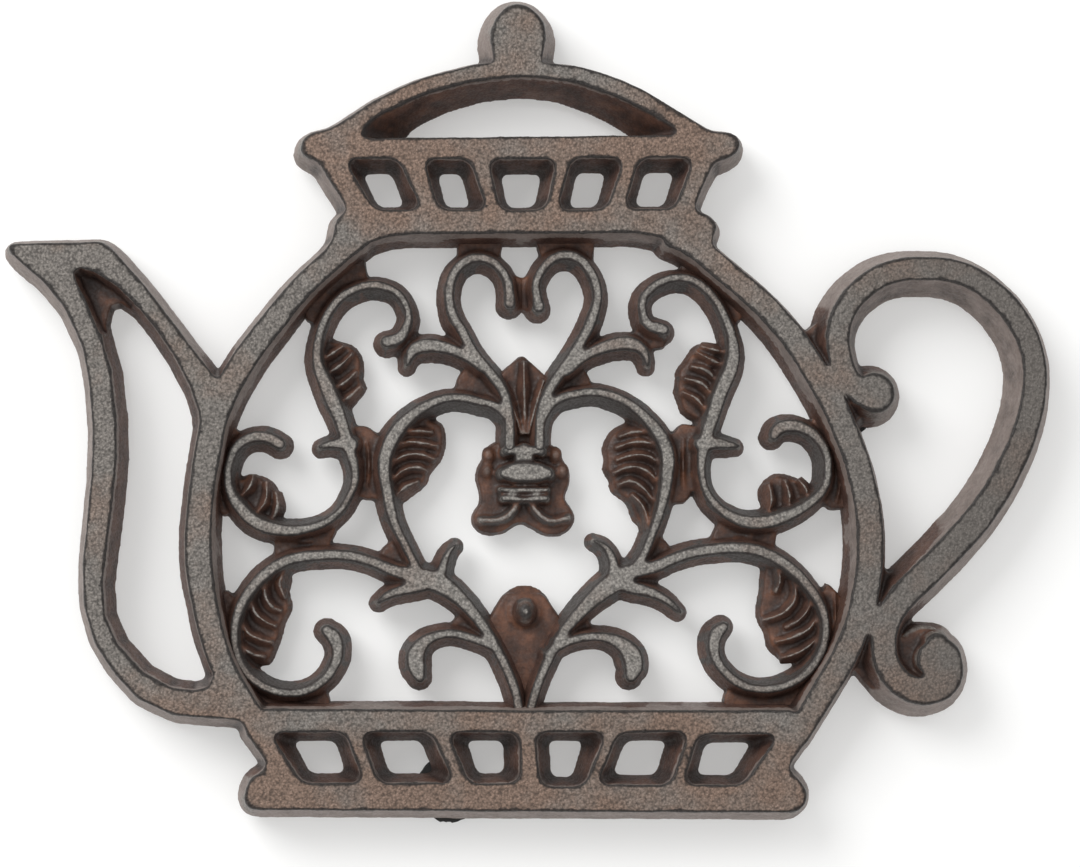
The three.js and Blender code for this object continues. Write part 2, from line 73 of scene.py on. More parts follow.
foot_low, foot_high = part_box("foot_cap_1")
SHIFT = Vector((
    (foot_low[0] + foot_high[0]) / 2 - FOOT_IN_DRAWING[0] * MM,
    (foot_low[1] + foot_high[1]) / 2 - FOOT_IN_DRAWING[1] * MM,
    0,
))

FRAME_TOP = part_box("base_band")[1][2] / MM
IRON_BOTTOM = 4
SCROLL_TOP = 11
HANDLE_END = 106.1  # the outermost X of the handle, in the drawing
LEAF_BODY = 6.8
LEAF_CREST = 10
WEB_TOP = 7
FRAME_DRAFT = 1.8
HANDLE_DRAFT = 2.6
SCROLL_DRAFT = 1.6
print("shift of the drawing, mm:", [round(v / MM, 3) for v in SHIFT])
print("frame top, mm:", round(FRAME_TOP, 2))


# %% [markdown]
# ## The tools for casting patterns
# Three shapes make nearly all of it. A **bar** follows a smooth line and has leaning sides: a
# curve with a triangular section does this, its radius gives the width, and one flat cut takes
# the top of the triangle off. A **panel** is a flat shape with leaning sides: two outlines, one
# above the other, bridged. A **round** is a short cone. A slot is a panel that is wider on top,
# taken away with a boolean.

# %% Selection helpers
def only(*pieces):
    """Leaves just these selected, the last of them active."""
    bpy.ops.object.select_all(action="DESELECT")
    for piece in pieces:
        piece.select_set(True)
        bpy.context.view_layer.objects.active = piece


def in_edit_mode(piece):
    only(piece)
    bpy.ops.object.mode_set(mode="EDIT")
    bpy.ops.mesh.select_all(action="SELECT")


def apply_modifier(piece, kind, **settings):
    only(piece)
    modifier = piece.modifiers.new(kind.lower(), kind)
    for name, value in settings.items():
        setattr(modifier, name, value)
    bpy.ops.object.modifier_apply(modifier=modifier.name)


def joined(pieces, name):
    only(*pieces)
    bpy.ops.object.join()
    piece = bpy.context.object
    piece.name = name
    piece.data.name = name
    return piece


# %% A bar with leaning sides
sections = {}


def section(slope):
    """A triangle one unit to each side of the line, as high as the slope of its sides makes it."""
    if slope not in sections:
        bpy.ops.object.select_all(action="DESELECT")
        bpy.ops.curve.primitive_bezier_circle_add()
        outline = bpy.context.object
        outline.data.splines.clear()
        spline = outline.data.splines.new("POLY")
        spline.points.add(2)
        for point, (x, y) in zip(spline.points, [(-1, 0), (1, 0), (0, 1 / slope)]):
            point.co = (x, y, 0, 1)
        spline.use_cyclic_u = True
        sections[slope] = outline
    return sections[slope]


def bar(points, top, draft, low=IRON_BOTTOM, smooth=5):
    """A bar through points of x, y and half the width of its top, with round ends."""
    slope = round(draft / (top - low), 3)
    profile = section(slope)
    bpy.ops.object.select_all(action="DESELECT")
    bpy.ops.curve.primitive_bezier_curve_add()
    piece = bpy.context.object
    curve = piece.data
    curve.splines.clear()
    spline = curve.splines.new("BEZIER")
    spline.bezier_points.add(len(points) - 1)
    for knot, (x, y, half) in zip(spline.bezier_points, points):
        knot.co = (x, y, low)
        knot.radius = half + draft
        knot.handle_left_type = knot.handle_right_type = "AUTO"
    curve.dimensions = "3D"
    curve.twist_mode = "Z_UP"
    curve.bevel_mode = "OBJECT"
    curve.bevel_object = profile
    curve.use_fill_caps = True
    curve.resolution_u = smooth
    only(piece)
    bpy.ops.object.convert(target="MESH")
    piece = bpy.context.object
    in_edit_mode(piece)
    bpy.ops.mesh.remove_doubles(threshold=0.001)
    bpy.ops.mesh.normals_make_consistent(inside=False)
    bpy.ops.mesh.bisect(
        plane_co=(0, 0, top), plane_no=(0, 0, 1), use_fill=True, clear_outer=True)
    bpy.ops.object.mode_set(mode="OBJECT")
    ends = [round_boss(end[:2], end[2], top, draft, low) for end in (points[0], points[-1])
            if end[2] > 0]
    return joined([piece] + ends, "bar")


# %% Outlines
def anticlockwise(outline):
    area = sum(x * v - u * y for (x, y), (u, v) in zip(outline, outline[1:] + outline[:1]))
    return outline if area > 0 else outline[::-1]


def rounded(outline, reach):
    """The outline with each corner turned into a short curve."""
    soft = []
    for i, point in enumerate(outline):
        corner = Vector(point)
        arms = [Vector(outline[i - 1]) - corner, Vector(outline[(i + 1) % len(outline)]) - corner]
        start, end = [corner + arm * min(0.4, reach / arm.length) for arm in arms]
        soft += [start, start * 0.25 + corner * 0.5 + end * 0.25, end]
    return [tuple(point) for point in soft]


def grown(outline, distance):
    """The outline with each of its edges moved outward."""
    outline = anticlockwise([tuple(point) for point in outline])
    normals = []
    for (x, y), (u, v) in zip(outline, outline[1:] + outline[:1]):
        length = math.hypot(u - x, v - y)
        normals.append(((v - y) / length, (x - u) / length))
    moved = []
    for i, (x, y) in enumerate(outline):
        (ax, ay), (bx, by) = normals[i - 1], normals[i]
        spread = 1 + ax * bx + ay * by
        moved.append((x + distance * (ax + bx) / spread, y + distance * (ay + by) / spread))
    return moved


# %% Panels, rounds and domes
def ring(outline, height):
    bpy.ops.object.select_all(action="DESELECT")
    bpy.ops.mesh.primitive_circle_add(vertices=len(outline), fill_type="NOTHING")
    piece = bpy.context.object
    for vertex, (x, y) in zip(piece.data.vertices, outline):
        vertex.co = (x, y, height)
    return piece


def panel(outline, top, draft, low=IRON_BOTTOM):
    """A flat shape with leaning sides, from its outline on top."""
    piece = joined([ring(grown(outline, draft), low), ring(grown(outline, 0), top)], "panel")
    in_edit_mode(piece)
    bpy.ops.mesh.bridge_edge_loops()
    bpy.ops.mesh.select_all(action="DESELECT")
    bpy.ops.mesh.select_non_manifold()
    bpy.ops.mesh.fill_holes(sides=0)
    bpy.ops.mesh.select_all(action="SELECT")
    bpy.ops.mesh.normals_make_consistent(inside=False)
    bpy.ops.object.mode_set(mode="OBJECT")
    return piece


def round_boss(centre, radius, top, draft, low=IRON_BOTTOM, sides=32):
    bpy.ops.object.select_all(action="DESELECT")
    bpy.ops.mesh.primitive_cone_add(
        vertices=sides, radius1=radius + draft, radius2=radius, depth=top - low,
        location=(centre[0], centre[1], (top + low) / 2))
    piece = bpy.context.object
    bpy.ops.object.transform_apply(location=True)
    return piece


def dome(centre, size, top, low=IRON_BOTTOM):
    """A low round hill, from its centre, its half widths across and along, and its height."""
    bpy.ops.object.select_all(action="DESELECT")
    bpy.ops.mesh.primitive_uv_sphere_add(segments=32, ring_count=16, radius=1)
    piece = bpy.context.object
    piece.scale = (size[0], size[1], top - low)
    piece.location = (centre[0], centre[1], low)
    bpy.ops.object.transform_apply(location=True, scale=True)
    in_edit_mode(piece)
    bpy.ops.mesh.bisect(
        plane_co=(0, 0, low), plane_no=(0, 0, 1), use_fill=True, clear_inner=True)
    bpy.ops.object.mode_set(mode="OBJECT")
    return piece


# %% Cuts, and a count of open edges
def plug(outline, depth_to, draft, above=1):
    """What is taken out of the iron: wide at the top face and narrower below it."""
    slope = draft / (FRAME_TOP - depth_to)
    mouth = grown(outline, slope * above)
    return panel(mouth, FRAME_TOP + above, -draft - slope * above, depth_to)


def cut(piece, plugs):
    tool = joined(plugs, "cutter")
    apply_modifier(piece, "BOOLEAN", object=tool, operation="DIFFERENCE", solver="EXACT")
    bpy.data.objects.remove(tool)
    return piece


def open_edges(piece):
    mesh = bmesh.new()
    mesh.from_mesh(piece.data)
    count = sum(not edge.is_manifold for edge in mesh.edges)
    mesh.free()
    return count


def tell(name, piece):
    print(name, len(piece.data.polygons), "faces,", open_edges(piece), "open edges")


# %% [markdown]
# ## The frame of the pot
# The foot band and the lid are flat bands with a row of windows. A window is a hole that narrows
# strongly towards the back: about three millimetres on its sides, two on its rails. Its face is
# drawn on top of the band and its four corners are rounded. Then the face is pulled down through
# the band and shrunk on the way, and the body that this makes is taken out of the iron. The
# lid's arch is cut the same way.

# %% Windows and arch
WINDOW_RAIL_DRAFT = 2.0
WINDOW_CORNER = 2.1


def shrinking_plug(outline, shrink, centre, corner):
    """A cut that is its outline on top and shrinks about a centre on its way to the back."""
    bpy.ops.object.select_all(action="DESELECT")
    piece = ring(anticlockwise(outline), FRAME_TOP)
    in_edit_mode(piece)
    bpy.ops.mesh.edge_face_add()
    if corner:
        bpy.ops.mesh.bevel(offset=corner, segments=3, affect="VERTICES", clamp_overlap=True)
    bpy.ops.mesh.extrude_region_move(TRANSFORM_OT_translate={"value": (0, 0, 1)})
    bpy.ops.mesh.select_all(action="DESELECT")
    bpy.ops.object.mode_set(mode="OBJECT")
    for polygon in piece.data.polygons:
        heights = [piece.data.vertices[i].co.z for i in polygon.vertices]
        polygon.select = max(heights) < FRAME_TOP + 0.5
    bpy.ops.object.mode_set(mode="EDIT")
    drop = FRAME_TOP - IRON_BOTTOM + 0.5
    bpy.ops.mesh.extrude_region_move(TRANSFORM_OT_translate={"value": (0, 0, -drop)})
    bpy.ops.transform.resize(
        value=(shrink[0], shrink[1], 1), center_override=(centre[0], centre[1], IRON_BOTTOM))
    bpy.ops.mesh.select_all(action="SELECT")
    bpy.ops.mesh.normals_make_consistent(inside=False)
    bpy.ops.object.mode_set(mode="OBJECT")
    return piece


def window(corners, side_draft):
    upper_left, lower_left, lower_right, upper_right = corners
    width = (lower_right[0] - lower_left[0] + upper_right[0] - upper_left[0]) / 2
    height = (upper_left[1] - lower_left[1] + upper_right[1] - lower_right[1]) / 2
    centre = [sum(corner[axis] for corner in corners) / 4 for axis in (0, 1)]
    shrink = (1 - 2 * side_draft / width, 1 - 2 * WINDOW_RAIL_DRAFT / height)
    return shrinking_plug(corners, shrink, centre, WINDOW_CORNER)


# %% [markdown]
# The foot band is a low strip with six windows and a foot at each end that flares out like the
# ring under a pot.

# %% The foot band
BASE_OUTLINE = [
    (-54.3, 3.5), (-53.4, 1.8), (-51.5, 1.4), (0, 1), (53.4, 0.7), (55.2, 2.3), (55.6, 4.6),
    (54.6, 6.4), (52.4, 8.6), (52.2, 10), (56.6, 16), (53.5, 20.6), (0, 20.6), (-51.5, 20.9),
    (-54.5, 17), (-50.3, 11.2), (-50, 10), (-50.8, 8.7), (-53.2, 7.2),
]
BASE_WINDOWS = [
    [(-49.3, 16.3), (-43.2, 6.4), (-30.8, 6.6), (-34.5, 16.5)],
    [(-31.8, 16.4), (-28.3, 6.4), (-13.3, 6.5), (-17.8, 16.5)],
    [(-14.8, 16.4), (-10.6, 6.3), (-0.4, 6.5), (-0.6, 16.4)],
    [(2.2, 16.4), (3.2, 5.8), (12, 5.7), (16.4, 16.4)],
    [(18.6, 16.4), (14.3, 6.2), (28.9, 6), (32.6, 16.4)],
    [(34.2, 16), (31.2, 6.1), (43.2, 6), (50.2, 16)],
]
BASE_CORNER = 1.4
BASE_WINDOW_DRAFT = 3.3

base_band = cut(
    panel(rounded(BASE_OUTLINE, BASE_CORNER), FRAME_TOP, FRAME_DRAFT),
    [window(corners, BASE_WINDOW_DRAFT) for corners in BASE_WINDOWS])
tell("foot band", base_band)

# %% [markdown]
# The lid has a row of five windows between its rails and a wide, low arch over them.

# %% The lid
LID_OUTLINE = [
    (-39.5, 110.4), (-36.6, 108.9), (-31, 112.2), (-27, 113.6), (-22, 114.2), (22, 114.7),
    (27, 113.9), (30.5, 112.2), (35.6, 108.9), (38.4, 110.3), (37.2, 113.3), (38.4, 116.3),
    (36.8, 118), (33.9, 119.2), (34.4, 121.4), (36.4, 126), (38, 129), (40, 129.5),
    (42.3, 130.8), (43, 132.8), (42.3, 134.2), (40.5, 134.8), (37.2, 135), (30, 139.4),
    (25, 142.5), (20, 144.9), (15, 146.6), (10, 147.9), (-1, 148.9), (-10, 147.9),
    (-20, 145.1), (-25, 142.9), (-30, 140.3), (-35, 136.8), (-38.4, 134.8), (-41.5, 134.2),
    (-43.3, 133), (-43.9, 131), (-43.3, 129.8), (-40.2, 128.2), (-38, 124.5), (-36, 121.5),
    (-34.9, 119.4), (-35.2, 118.3), (-36.8, 117), (-37.2, 114.8), (-37.6, 112.6),
]
LID_WINDOWS = [
    [(-35.3, 129), (-29.5, 118.8), (-20, 119), (-24.6, 129.2)],
    [(-19.9, 129.1), (-16.6, 118.9), (-7, 119), (-10.6, 129.3)],
    [(-7, 129.2), (-4.6, 118.8), (4.6, 119.2), (6.8, 129.3)],
    [(9.4, 129.6), (6.6, 119), (16.6, 119.3), (20, 129.7)],
    [(23, 129.7), (19.7, 119.4), (30, 119.4), (33.9, 129.8)],
]
LID_ARCH = [
    (-33.2, 133.1), (0, 133.7), (32.1, 134.3), (27, 137.8), (20, 141.4), (10, 144.9),
    (0, 145.8), (-10, 144.8), (-20, 142), (-30, 137.2),
]
LID_CORNER = 1.2
LID_WINDOW_DRAFT = 2.6
ARCH_ROUNDING = 2.5
ARCH_CORNER = 0.9
ARCH_CENTRE = (-0.5, 134.2)
ARCH_SHRINK = (0.7, 0.72)

arch = shrinking_plug(rounded(LID_ARCH, ARCH_ROUNDING), ARCH_SHRINK, ARCH_CENTRE, ARCH_CORNER)
lid_band = cut(
    panel(rounded(LID_OUTLINE, LID_CORNER), FRAME_TOP, FRAME_DRAFT),
    [arch] + [window(corners, LID_WINDOW_DRAFT) for corners in LID_WINDOWS])
tell("lid", lid_band)

# %% [markdown]
# The spout is one bent band with a long slot, which leaves its two sides. The slot is bent too,
# so shrinking it about a centre would make its walls lean unevenly. A leaning panel moves each
# of its edges inward by the same amount instead. A shallow pocket sinks the lip's inside.

# %% The spout
SPOUT_OUTLINE = [
    (-53.5, 18.2), (-57.5, 26), (-61.5, 34), (-63.2, 52), (-61.4, 74), (-57.4, 84.6),
    (-59.3, 84.4), (-61.5, 87), (-65, 91.4), (-70, 98), (-75, 104.5), (-80.5, 110.5),
    (-82.8, 112.2), (-100.4, 111.7), (-101, 110.7), (-99, 108.5), (-94.5, 104.8),
    (-90, 99.5), (-86.2, 91.5), (-84.8, 84), (-84.1, 75), (-84.3, 66), (-85, 58),
    (-85.8, 49), (-85.5, 41), (-83.5, 34), (-80, 28.5), (-75, 23), (-68, 19.8), (-62, 19.2),
    (-57.5, 19),
]
SPOUT_SLOT = [
    (-61.2, 25.2), (-60.3, 27.5), (-62.5, 34), (-64.7, 44), (-65.3, 53), (-65, 62),
    (-64, 70), (-63.1, 74.5), (-63.5, 79), (-65, 83.5), (-68, 89.3), (-72, 95.3),
    (-75.5, 99.5), (-79, 102.2), (-82.5, 101.2), (-83.4, 96.5), (-82, 91), (-80.8, 87),
    (-79.7, 78), (-79.5, 70), (-80.2, 61), (-81.2, 53), (-82, 45), (-81.5, 39),
    (-79, 33.5), (-74, 28), (-68.5, 25), (-64, 24.4),
]
SPOUT_POCKET = [
    (-76, 100.2), (-80, 103.8), (-84, 106.3), (-87, 107), (-88.2, 106.3), (-87.5, 104),
    (-85.5, 100), (-83, 94), (-79.5, 94),
]
SPOUT_CORNER = 1.2
SLOT_DRAFT = 2.1
POCKET_BOTTOM = 8.2
POCKET_DRAFT = 0.9
CUT_THROUGH = IRON_BOTTOM - 0.5

spout_band = cut(
    panel(rounded(SPOUT_OUTLINE, SPOUT_CORNER), FRAME_TOP, FRAME_DRAFT),
    [plug(SPOUT_SLOT, CUT_THROUGH, SLOT_DRAFT)])
cut(spout_band, [plug(SPOUT_POCKET, POCKET_BOTTOM, POCKET_DRAFT)])
tell("spout", spout_band)

# %% [markdown]
# The belly is two long bars, from the lid down to the foot band. A bar suits them better than a
# panel, because its width is given point by point along a smooth line.

# %% The belly
BELLY_LEFT = [
    (-31.5, 114.3, 2.3), (-36.4, 110.2, 2.2), (-44, 103, 2.2), (-48.5, 97.5, 2.3),
    (-55.5, 87.8, 2.4), (-60, 79, 2.6), (-61.7, 71, 2.5), (-63.1, 61, 2.4), (-63.4, 51, 2.6),
    (-62, 41, 2.4), (-59.3, 31, 2.3), (-55.5, 23.5, 2.3), (-51.5, 17.6, 2.3),
]
BELLY_RIGHT = [
    (30, 114, 2.3), (33, 112.6, 2.3), (39.8, 107.3, 2.3), (50.3, 97.7, 2.4), (58.2, 86.6, 2.5),
    (64, 74.7, 2.5), (67.4, 63.5, 2.5), (68.4, 53, 2.6), (67.2, 42.5, 2.6), (64, 33, 2.5),
    (58.6, 23.6, 2.4), (53.8, 15.8, 2.3),
]

frame_parts = [base_band, lid_band, spout_band]
frame_parts.append(bar(BELLY_LEFT, FRAME_TOP, FRAME_DRAFT))
frame_parts.append(bar(BELLY_RIGHT, FRAME_TOP, FRAME_DRAFT))
print("open edges in the belly's bars:", [open_edges(piece) for piece in frame_parts[-2:]])

# %% [markdown]
# The handle is one bar that curls at both ends, round a ball at the top and round a flat disc at
# the foot. The knob is a small panel on top of the lid.

# %% The handle and the knob
HANDLE = [
    (67, 83.3, 2.6), (64.3, 86, 2.2), (62.5, 91, 2.2), (62.3, 95, 2.2), (64, 100, 2.2),
    (68, 104.5, 2.2), (73, 107.2, 2.2), (80, 107.9, 2.2), (87, 107, 2.2), (93, 103.5, 2.2),
    (98, 98, 2.25), (101, 91, 2.25), (101.3, 84, 2.3), (99.5, 76, 2.4), (96, 68, 2.5),
    (91, 60, 2.6), (85, 53, 2.7), (79, 47, 2.7), (74, 42, 2.6), (71.5, 37.5, 2.5),
    (71, 33, 2.4), (72.5, 28, 2.4), (76, 25, 2.5), (80, 24.6, 2.7), (83, 27, 3.2),
    (82.9, 31, 3.2), (81.6, 33.2, 2.4),
]
HANDLE_BALL = (69.5, 83.2)
HANDLE_BALL_RADIUS = 3.8
KNOB = [
    (3.4, 147.6), (3.6, 148.9), (3.9, 151), (4.4, 153.5), (4.1, 156), (2.9, 158),
    (0.8, 159.7), (-1.3, 160.2), (-3.5, 159.5), (-5.2, 157.5), (-6.3, 155), (-6.3, 152.5),
    (-5.8, 149.3), (-5.6, 147.6),
]
KNOB_CORNER = 0.8

frame_parts.append(bar(HANDLE, FRAME_TOP, HANDLE_DRAFT))
frame_parts.append(round_boss(HANDLE_BALL, HANDLE_BALL_RADIUS, FRAME_TOP, HANDLE_DRAFT))
frame_parts.append(panel(rounded(KNOB, KNOB_CORNER), FRAME_TOP, HANDLE_DRAFT))
print("open edges in handle, ball and knob:", [open_edges(piece) for piece in frame_parts[-3:]])

# %% [markdown]
# The disc at the handle's foot stands in a round valley, whose floor is a second, lower round.
# Low webs tie the handle to the belly, and sharp little seams run along them. Under the iron
# stand four short studs for the feet.

# %% The handle's foot, its webs and the studs
HANDLE_DISC = (81.4, 30.6)
HANDLE_DISC_RADIUS = 3.9
HANDLE_DISC_DRAFT = 1
VALLEY = (79.4, 31.6)
VALLEY_RADIUS = 5.6
VALLEY_TOP = 10.4
VALLEY_DRAFT = 1.2
HANDLE_WEBS = [
    [(64.6, 74.6), (69, 80), (64.6, 90), (63, 101), (56.5, 95.5), (59, 88)],
    [(65.2, 29.5), (69.5, 24.5), (73.5, 28), (73, 38), (77, 44.5), (72, 48.4), (68.6, 46),
     (67, 38)],
]
HANDLE_WEB_TOP = WEB_TOP + 1
HANDLE_WEB_DRAFT = 0.6
HANDLE_SEAMS = [
    [(66.8, 78.5, 0.3), (65.2, 82, 0.3), (61.6, 87.5, 0.3), (58.8, 92, 0.2)],
    [(71.2, 46.5, 0.2), (69.2, 40, 0.3), (68.6, 34, 0.3), (69.2, 29.5, 0.3), (70.6, 26.5, 0.2)],
    [(77.9, 34.6, 0.2), (76.6, 32, 0.4), (76.8, 29.4, 0.4), (78.3, 27.9, 0.2)],
]
HANDLE_SEAM_TOP = 9.6
HANDLE_SEAM_DRAFT = 1.2
HANDLE_SEAM_BOTTOM = 6
STUDS = [FOOT_IN_DRAWING, (-50.4, 20.4), (-1.3, 152.3), (64.6, 81.6)]
STUD_RADIUS = 3
STUD_TOP = 6
STUD_BOTTOM = 1.8

frame_parts.append(round_boss(HANDLE_DISC, HANDLE_DISC_RADIUS, FRAME_TOP, HANDLE_DISC_DRAFT))
frame_parts.append(round_boss(VALLEY, VALLEY_RADIUS, VALLEY_TOP, VALLEY_DRAFT))
frame_parts += [panel(web, HANDLE_WEB_TOP, HANDLE_WEB_DRAFT) for web in HANDLE_WEBS]
frame_parts += [
    bar(seam, HANDLE_SEAM_TOP, HANDLE_SEAM_DRAFT, low=HANDLE_SEAM_BOTTOM)
    for seam in HANDLE_SEAMS]
frame_parts += [round_boss(spot, STUD_RADIUS, STUD_TOP, 0, STUD_BOTTOM) for spot in STUDS]
print("open edges in all the frame's parts:", [open_edges(piece) for piece in frame_parts])

# %% [markdown]
# ## The scrollwork
# Each half is drawn on its own, because the two halves of the real pot are not quite alike, as
# if the pattern had been carved by hand. A list gives the raised bars with their half widths.
# Bars that end in a curl swell there, bars that end in a thorn run out to nothing.

# %% Scrollwork, left half
LEFT_BARS = [
    # trunk, thorn and the small leaf under it
    [(-0.6, 19.5, 1), (-1.3, 24, 1), (-3, 28.5, 1), (-5, 32.5, 1.05), (-7, 36, 1.1),
     (-9.5, 39.5, 1.3), (-12, 42.3, 1.6), (-15.5, 45, 2.1), (-19, 46.5, 2.2)],
    [(-16.8, 45.5, 1.8), (-16, 47.6, 1.1), (-15.2, 50.1, 0.8), (-14.2, 52, 0.5), (-13.2, 53, 0.2)],
    [(-18, 46, 1.8), (-21, 44.9, 1.4), (-23.6, 44.2, 1.1), (-26.3, 43.2, 0.8), (-28.3, 41.8, 0.3)],
    # lower scroll
    [(-18, 46.4, 2), (-22, 47.2, 1.6), (-25, 47.9, 1.3), (-29.7, 49.8, 1.1), (-34.4, 50.9, 1.1),
     (-39, 51, 1.15), (-43, 50.7, 1.2), (-46.5, 49.8, 1.2), (-50.5, 47.3, 1.2),
     (-53.8, 43.5, 1.1), (-55.8, 39.5, 1), (-56.4, 35.5, 0.9), (-56, 32, 0.9),
     (-54.6, 28.8, 0.9), (-52.2, 26.3, 0.9), (-49, 24.6, 0.9), (-45.5, 24, 0.9),
     (-42, 24.6, 0.9), (-39.3, 26.2, 1), (-37.2, 28.8, 1.1), (-36.2, 32, 1.3),
     (-36.9, 34.8, 1.6), (-38.4, 36.2, 1.2)],
    # short inner curl
    [(-5, 32.8, 0.9), (-7.6, 33.9, 0.9), (-10.5, 34.9, 0.9), (-14, 35.6, 0.9), (-16.9, 35.2, 1),
     (-19.3, 33.9, 1.4), (-20.9, 31.3, 2.1), (-20.7, 28.7, 1.9), (-20.2, 27.2, 1.2)],
    # ring scroll
    [(-47.7, 72.8, 1.2), (-49.4, 73.8, 1.2), (-51.9, 74.3, 1.2), (-54.5, 73.6, 1.1),
     (-56.4, 71.9, 1), (-57.5, 69.4, 0.9), (-57.9, 66.4, 0.9), (-57.2, 62.9, 1),
     (-55.3, 60.1, 1.4), (-52.8, 57.7, 1.5), (-49.4, 56.3, 1.4), (-46, 55.8, 1.2),
     (-42.1, 56.3, 0.9), (-38.7, 57.5, 0.8), (-36.1, 59.5, 0.7), (-34.2, 62.4, 0.7),
     (-33, 65.5, 0.8), (-33.2, 69.5, 1)],
    # C scroll and its spur
    [(-26.8, 93.2, 1.3), (-24.4, 93.9, 1.3), (-23.1, 95.8, 1), (-22.5, 98.4, 0.8),
     (-23.3, 100.9, 0.8), (-25, 103, 0.8), (-27.6, 104.1, 0.9), (-30.2, 104.3, 0.9),
     (-33.1, 103.5, 0.9), (-35.7, 102, 0.9), (-37.8, 99.6, 0.9), (-39.3, 96.7, 0.9),
     (-40.2, 93.6, 0.9), (-40.6, 90.2, 1), (-40, 87.3, 1.3), (-38.7, 84.3, 1.6),
     (-37.4, 81.3, 1.7), (-36.1, 78.3, 1.5), (-35.1, 75.3, 1.4), (-34.2, 72.3, 1.3),
     (-33.2, 68.9, 1)],
    [(-33.8, 72.8, 1.6), (-36.2, 72.9, 1.1), (-38.4, 72.7, 0.7), (-39.7, 72.3, 0.4)],
    # heart and its branch
    [(-2.5, 101, 1.3), (-2.6, 103.1, 1), (-3.1, 105.6, 0.9), (-4.6, 108, 0.9), (-6.7, 109.5, 1),
     (-9.3, 109.9, 1), (-11.8, 108.8, 1), (-13.5, 106.9, 1), (-14.4, 103.9, 1),
     (-14.4, 100.9, 1), (-13.5, 97.9, 1.1), (-12, 95.4, 1.1), (-10.5, 92.4, 1.1),
     (-8.8, 89.8, 1.2), (-6.3, 86.9, 1.1), (-4.1, 83.9, 1.1), (-3.1, 80.9, 1.1),
     (-2.6, 77.5, 1.1), (-2.6, 72.6, 1.1)],
    [(-8, 88.1, 1), (-10.5, 90, 1.1), (-13.1, 91.3, 1.2), (-16.1, 92.2, 1.4), (-19.1, 92.4, 1.6),
     (-21.4, 91.6, 1.4), (-22.4, 90, 0.8), (-22.8, 88.6, 0.3)],
    # inner scroll
    [(-3, 78.4, 1), (-5.4, 80.5, 0.9), (-8.4, 81.3, 0.9), (-11.4, 82, 0.9), (-14.8, 82, 0.9),
     (-18.2, 80.9, 1), (-21.6, 78.8, 1.2), (-24.2, 76.2, 1.5), (-26.1, 73.2, 1.6),
     (-27.2, 69.8, 1.4), (-27.2, 66.8, 1.3), (-26.5, 63, 1.2), (-26, 60.2, 1.2),
     (-25, 56.9, 1), (-23.3, 53.5, 0.9), (-21.6, 50.1, 0.9), (-20.4, 47.5, 1.1)],
]
LEFT_LEAVES = [
    # lower scroll, ring scroll, C scroll, inner scroll
    [(-46, 43.5), (-44.8, 41), (-46.5, 38), (-47.5, 34), (-49.5, 29), (-53.5, 30),
     (-55.5, 33), (-55.4, 39), (-53, 44), (-49, 48), (-45.5, 49.5), (-45.2, 46)],
    [(-53.5, 67.5), (-50, 66.5), (-48, 64.5), (-47.8, 61), (-46.4, 57.2), (-51, 57.6),
     (-55.6, 61.4), (-57.2, 66)],
    [(-38.6, 94.6), (-36, 93.7), (-33.5, 93.2), (-31.5, 91), (-31.2, 88), (-31.5, 86),
     (-30.3, 84.5), (-31.8, 82.5), (-33.5, 80.5), (-35.4, 77.8), (-38, 82), (-40, 88)],
    [(-20, 79), (-15.4, 77.5), (-14.8, 73.2), (-15.7, 70.2), (-18.2, 67.2), (-18.6, 65.1),
     (-21.6, 63), (-24.5, 60.5), (-26.4, 65), (-27, 69.5), (-24.5, 75)],
]
LEFT_CRESTS = [
    # lower scroll's leaf
    [(-46, 49), (-47.6, 45.8), (-46.6, 42.4)],
    [(-49.5, 47.4), (-50.6, 44), (-49.4, 41.2), (-47.2, 40)],
    [(-53, 43.6), (-52.8, 40.4), (-50.8, 38.2), (-48.2, 37)],
    [(-55, 39), (-54, 36), (-51.6, 34.6), (-48.8, 33.8)],
    [(-55.4, 34), (-53.6, 32), (-50.4, 31)],
    # ring scroll's leaf
    [(-55.4, 62.6), (-53.6, 64.6), (-53, 67)],
    [(-52.6, 59), (-50.6, 61.6), (-50.4, 65.8)],
    [(-49.6, 57.4), (-48.2, 60.4), (-48.6, 63.8)],
    # C scroll's leaf
    [(-39.8, 89.5), (-37.4, 91), (-35.2, 92.6)],
    [(-39.4, 86.6), (-36.4, 88.2), (-33.4, 91.2)],
    [(-38.4, 83.8), (-35.6, 84.8), (-32.6, 87.6)],
    [(-37.2, 80.6), (-34.6, 82), (-31.8, 84.6)],
    # inner scroll's leaf
    [(-25.4, 74.4), (-21.6, 75.6), (-17.4, 75.4)],
    [(-26.6, 70.8), (-23.4, 73.2), (-19.6, 73.2), (-16.4, 72.6)],
    [(-27, 67.6), (-24.4, 70.2), (-20.6, 71), (-17, 70)],
    [(-26.6, 64.4), (-23.8, 67.6), (-20.4, 68.4), (-18.6, 67.6)],
    [(-25.8, 61.6), (-23.2, 64.4), (-20.2, 65.8)],
]
print("left half:", len(LEFT_BARS), "bars,", len(LEFT_LEAVES), "leaves")

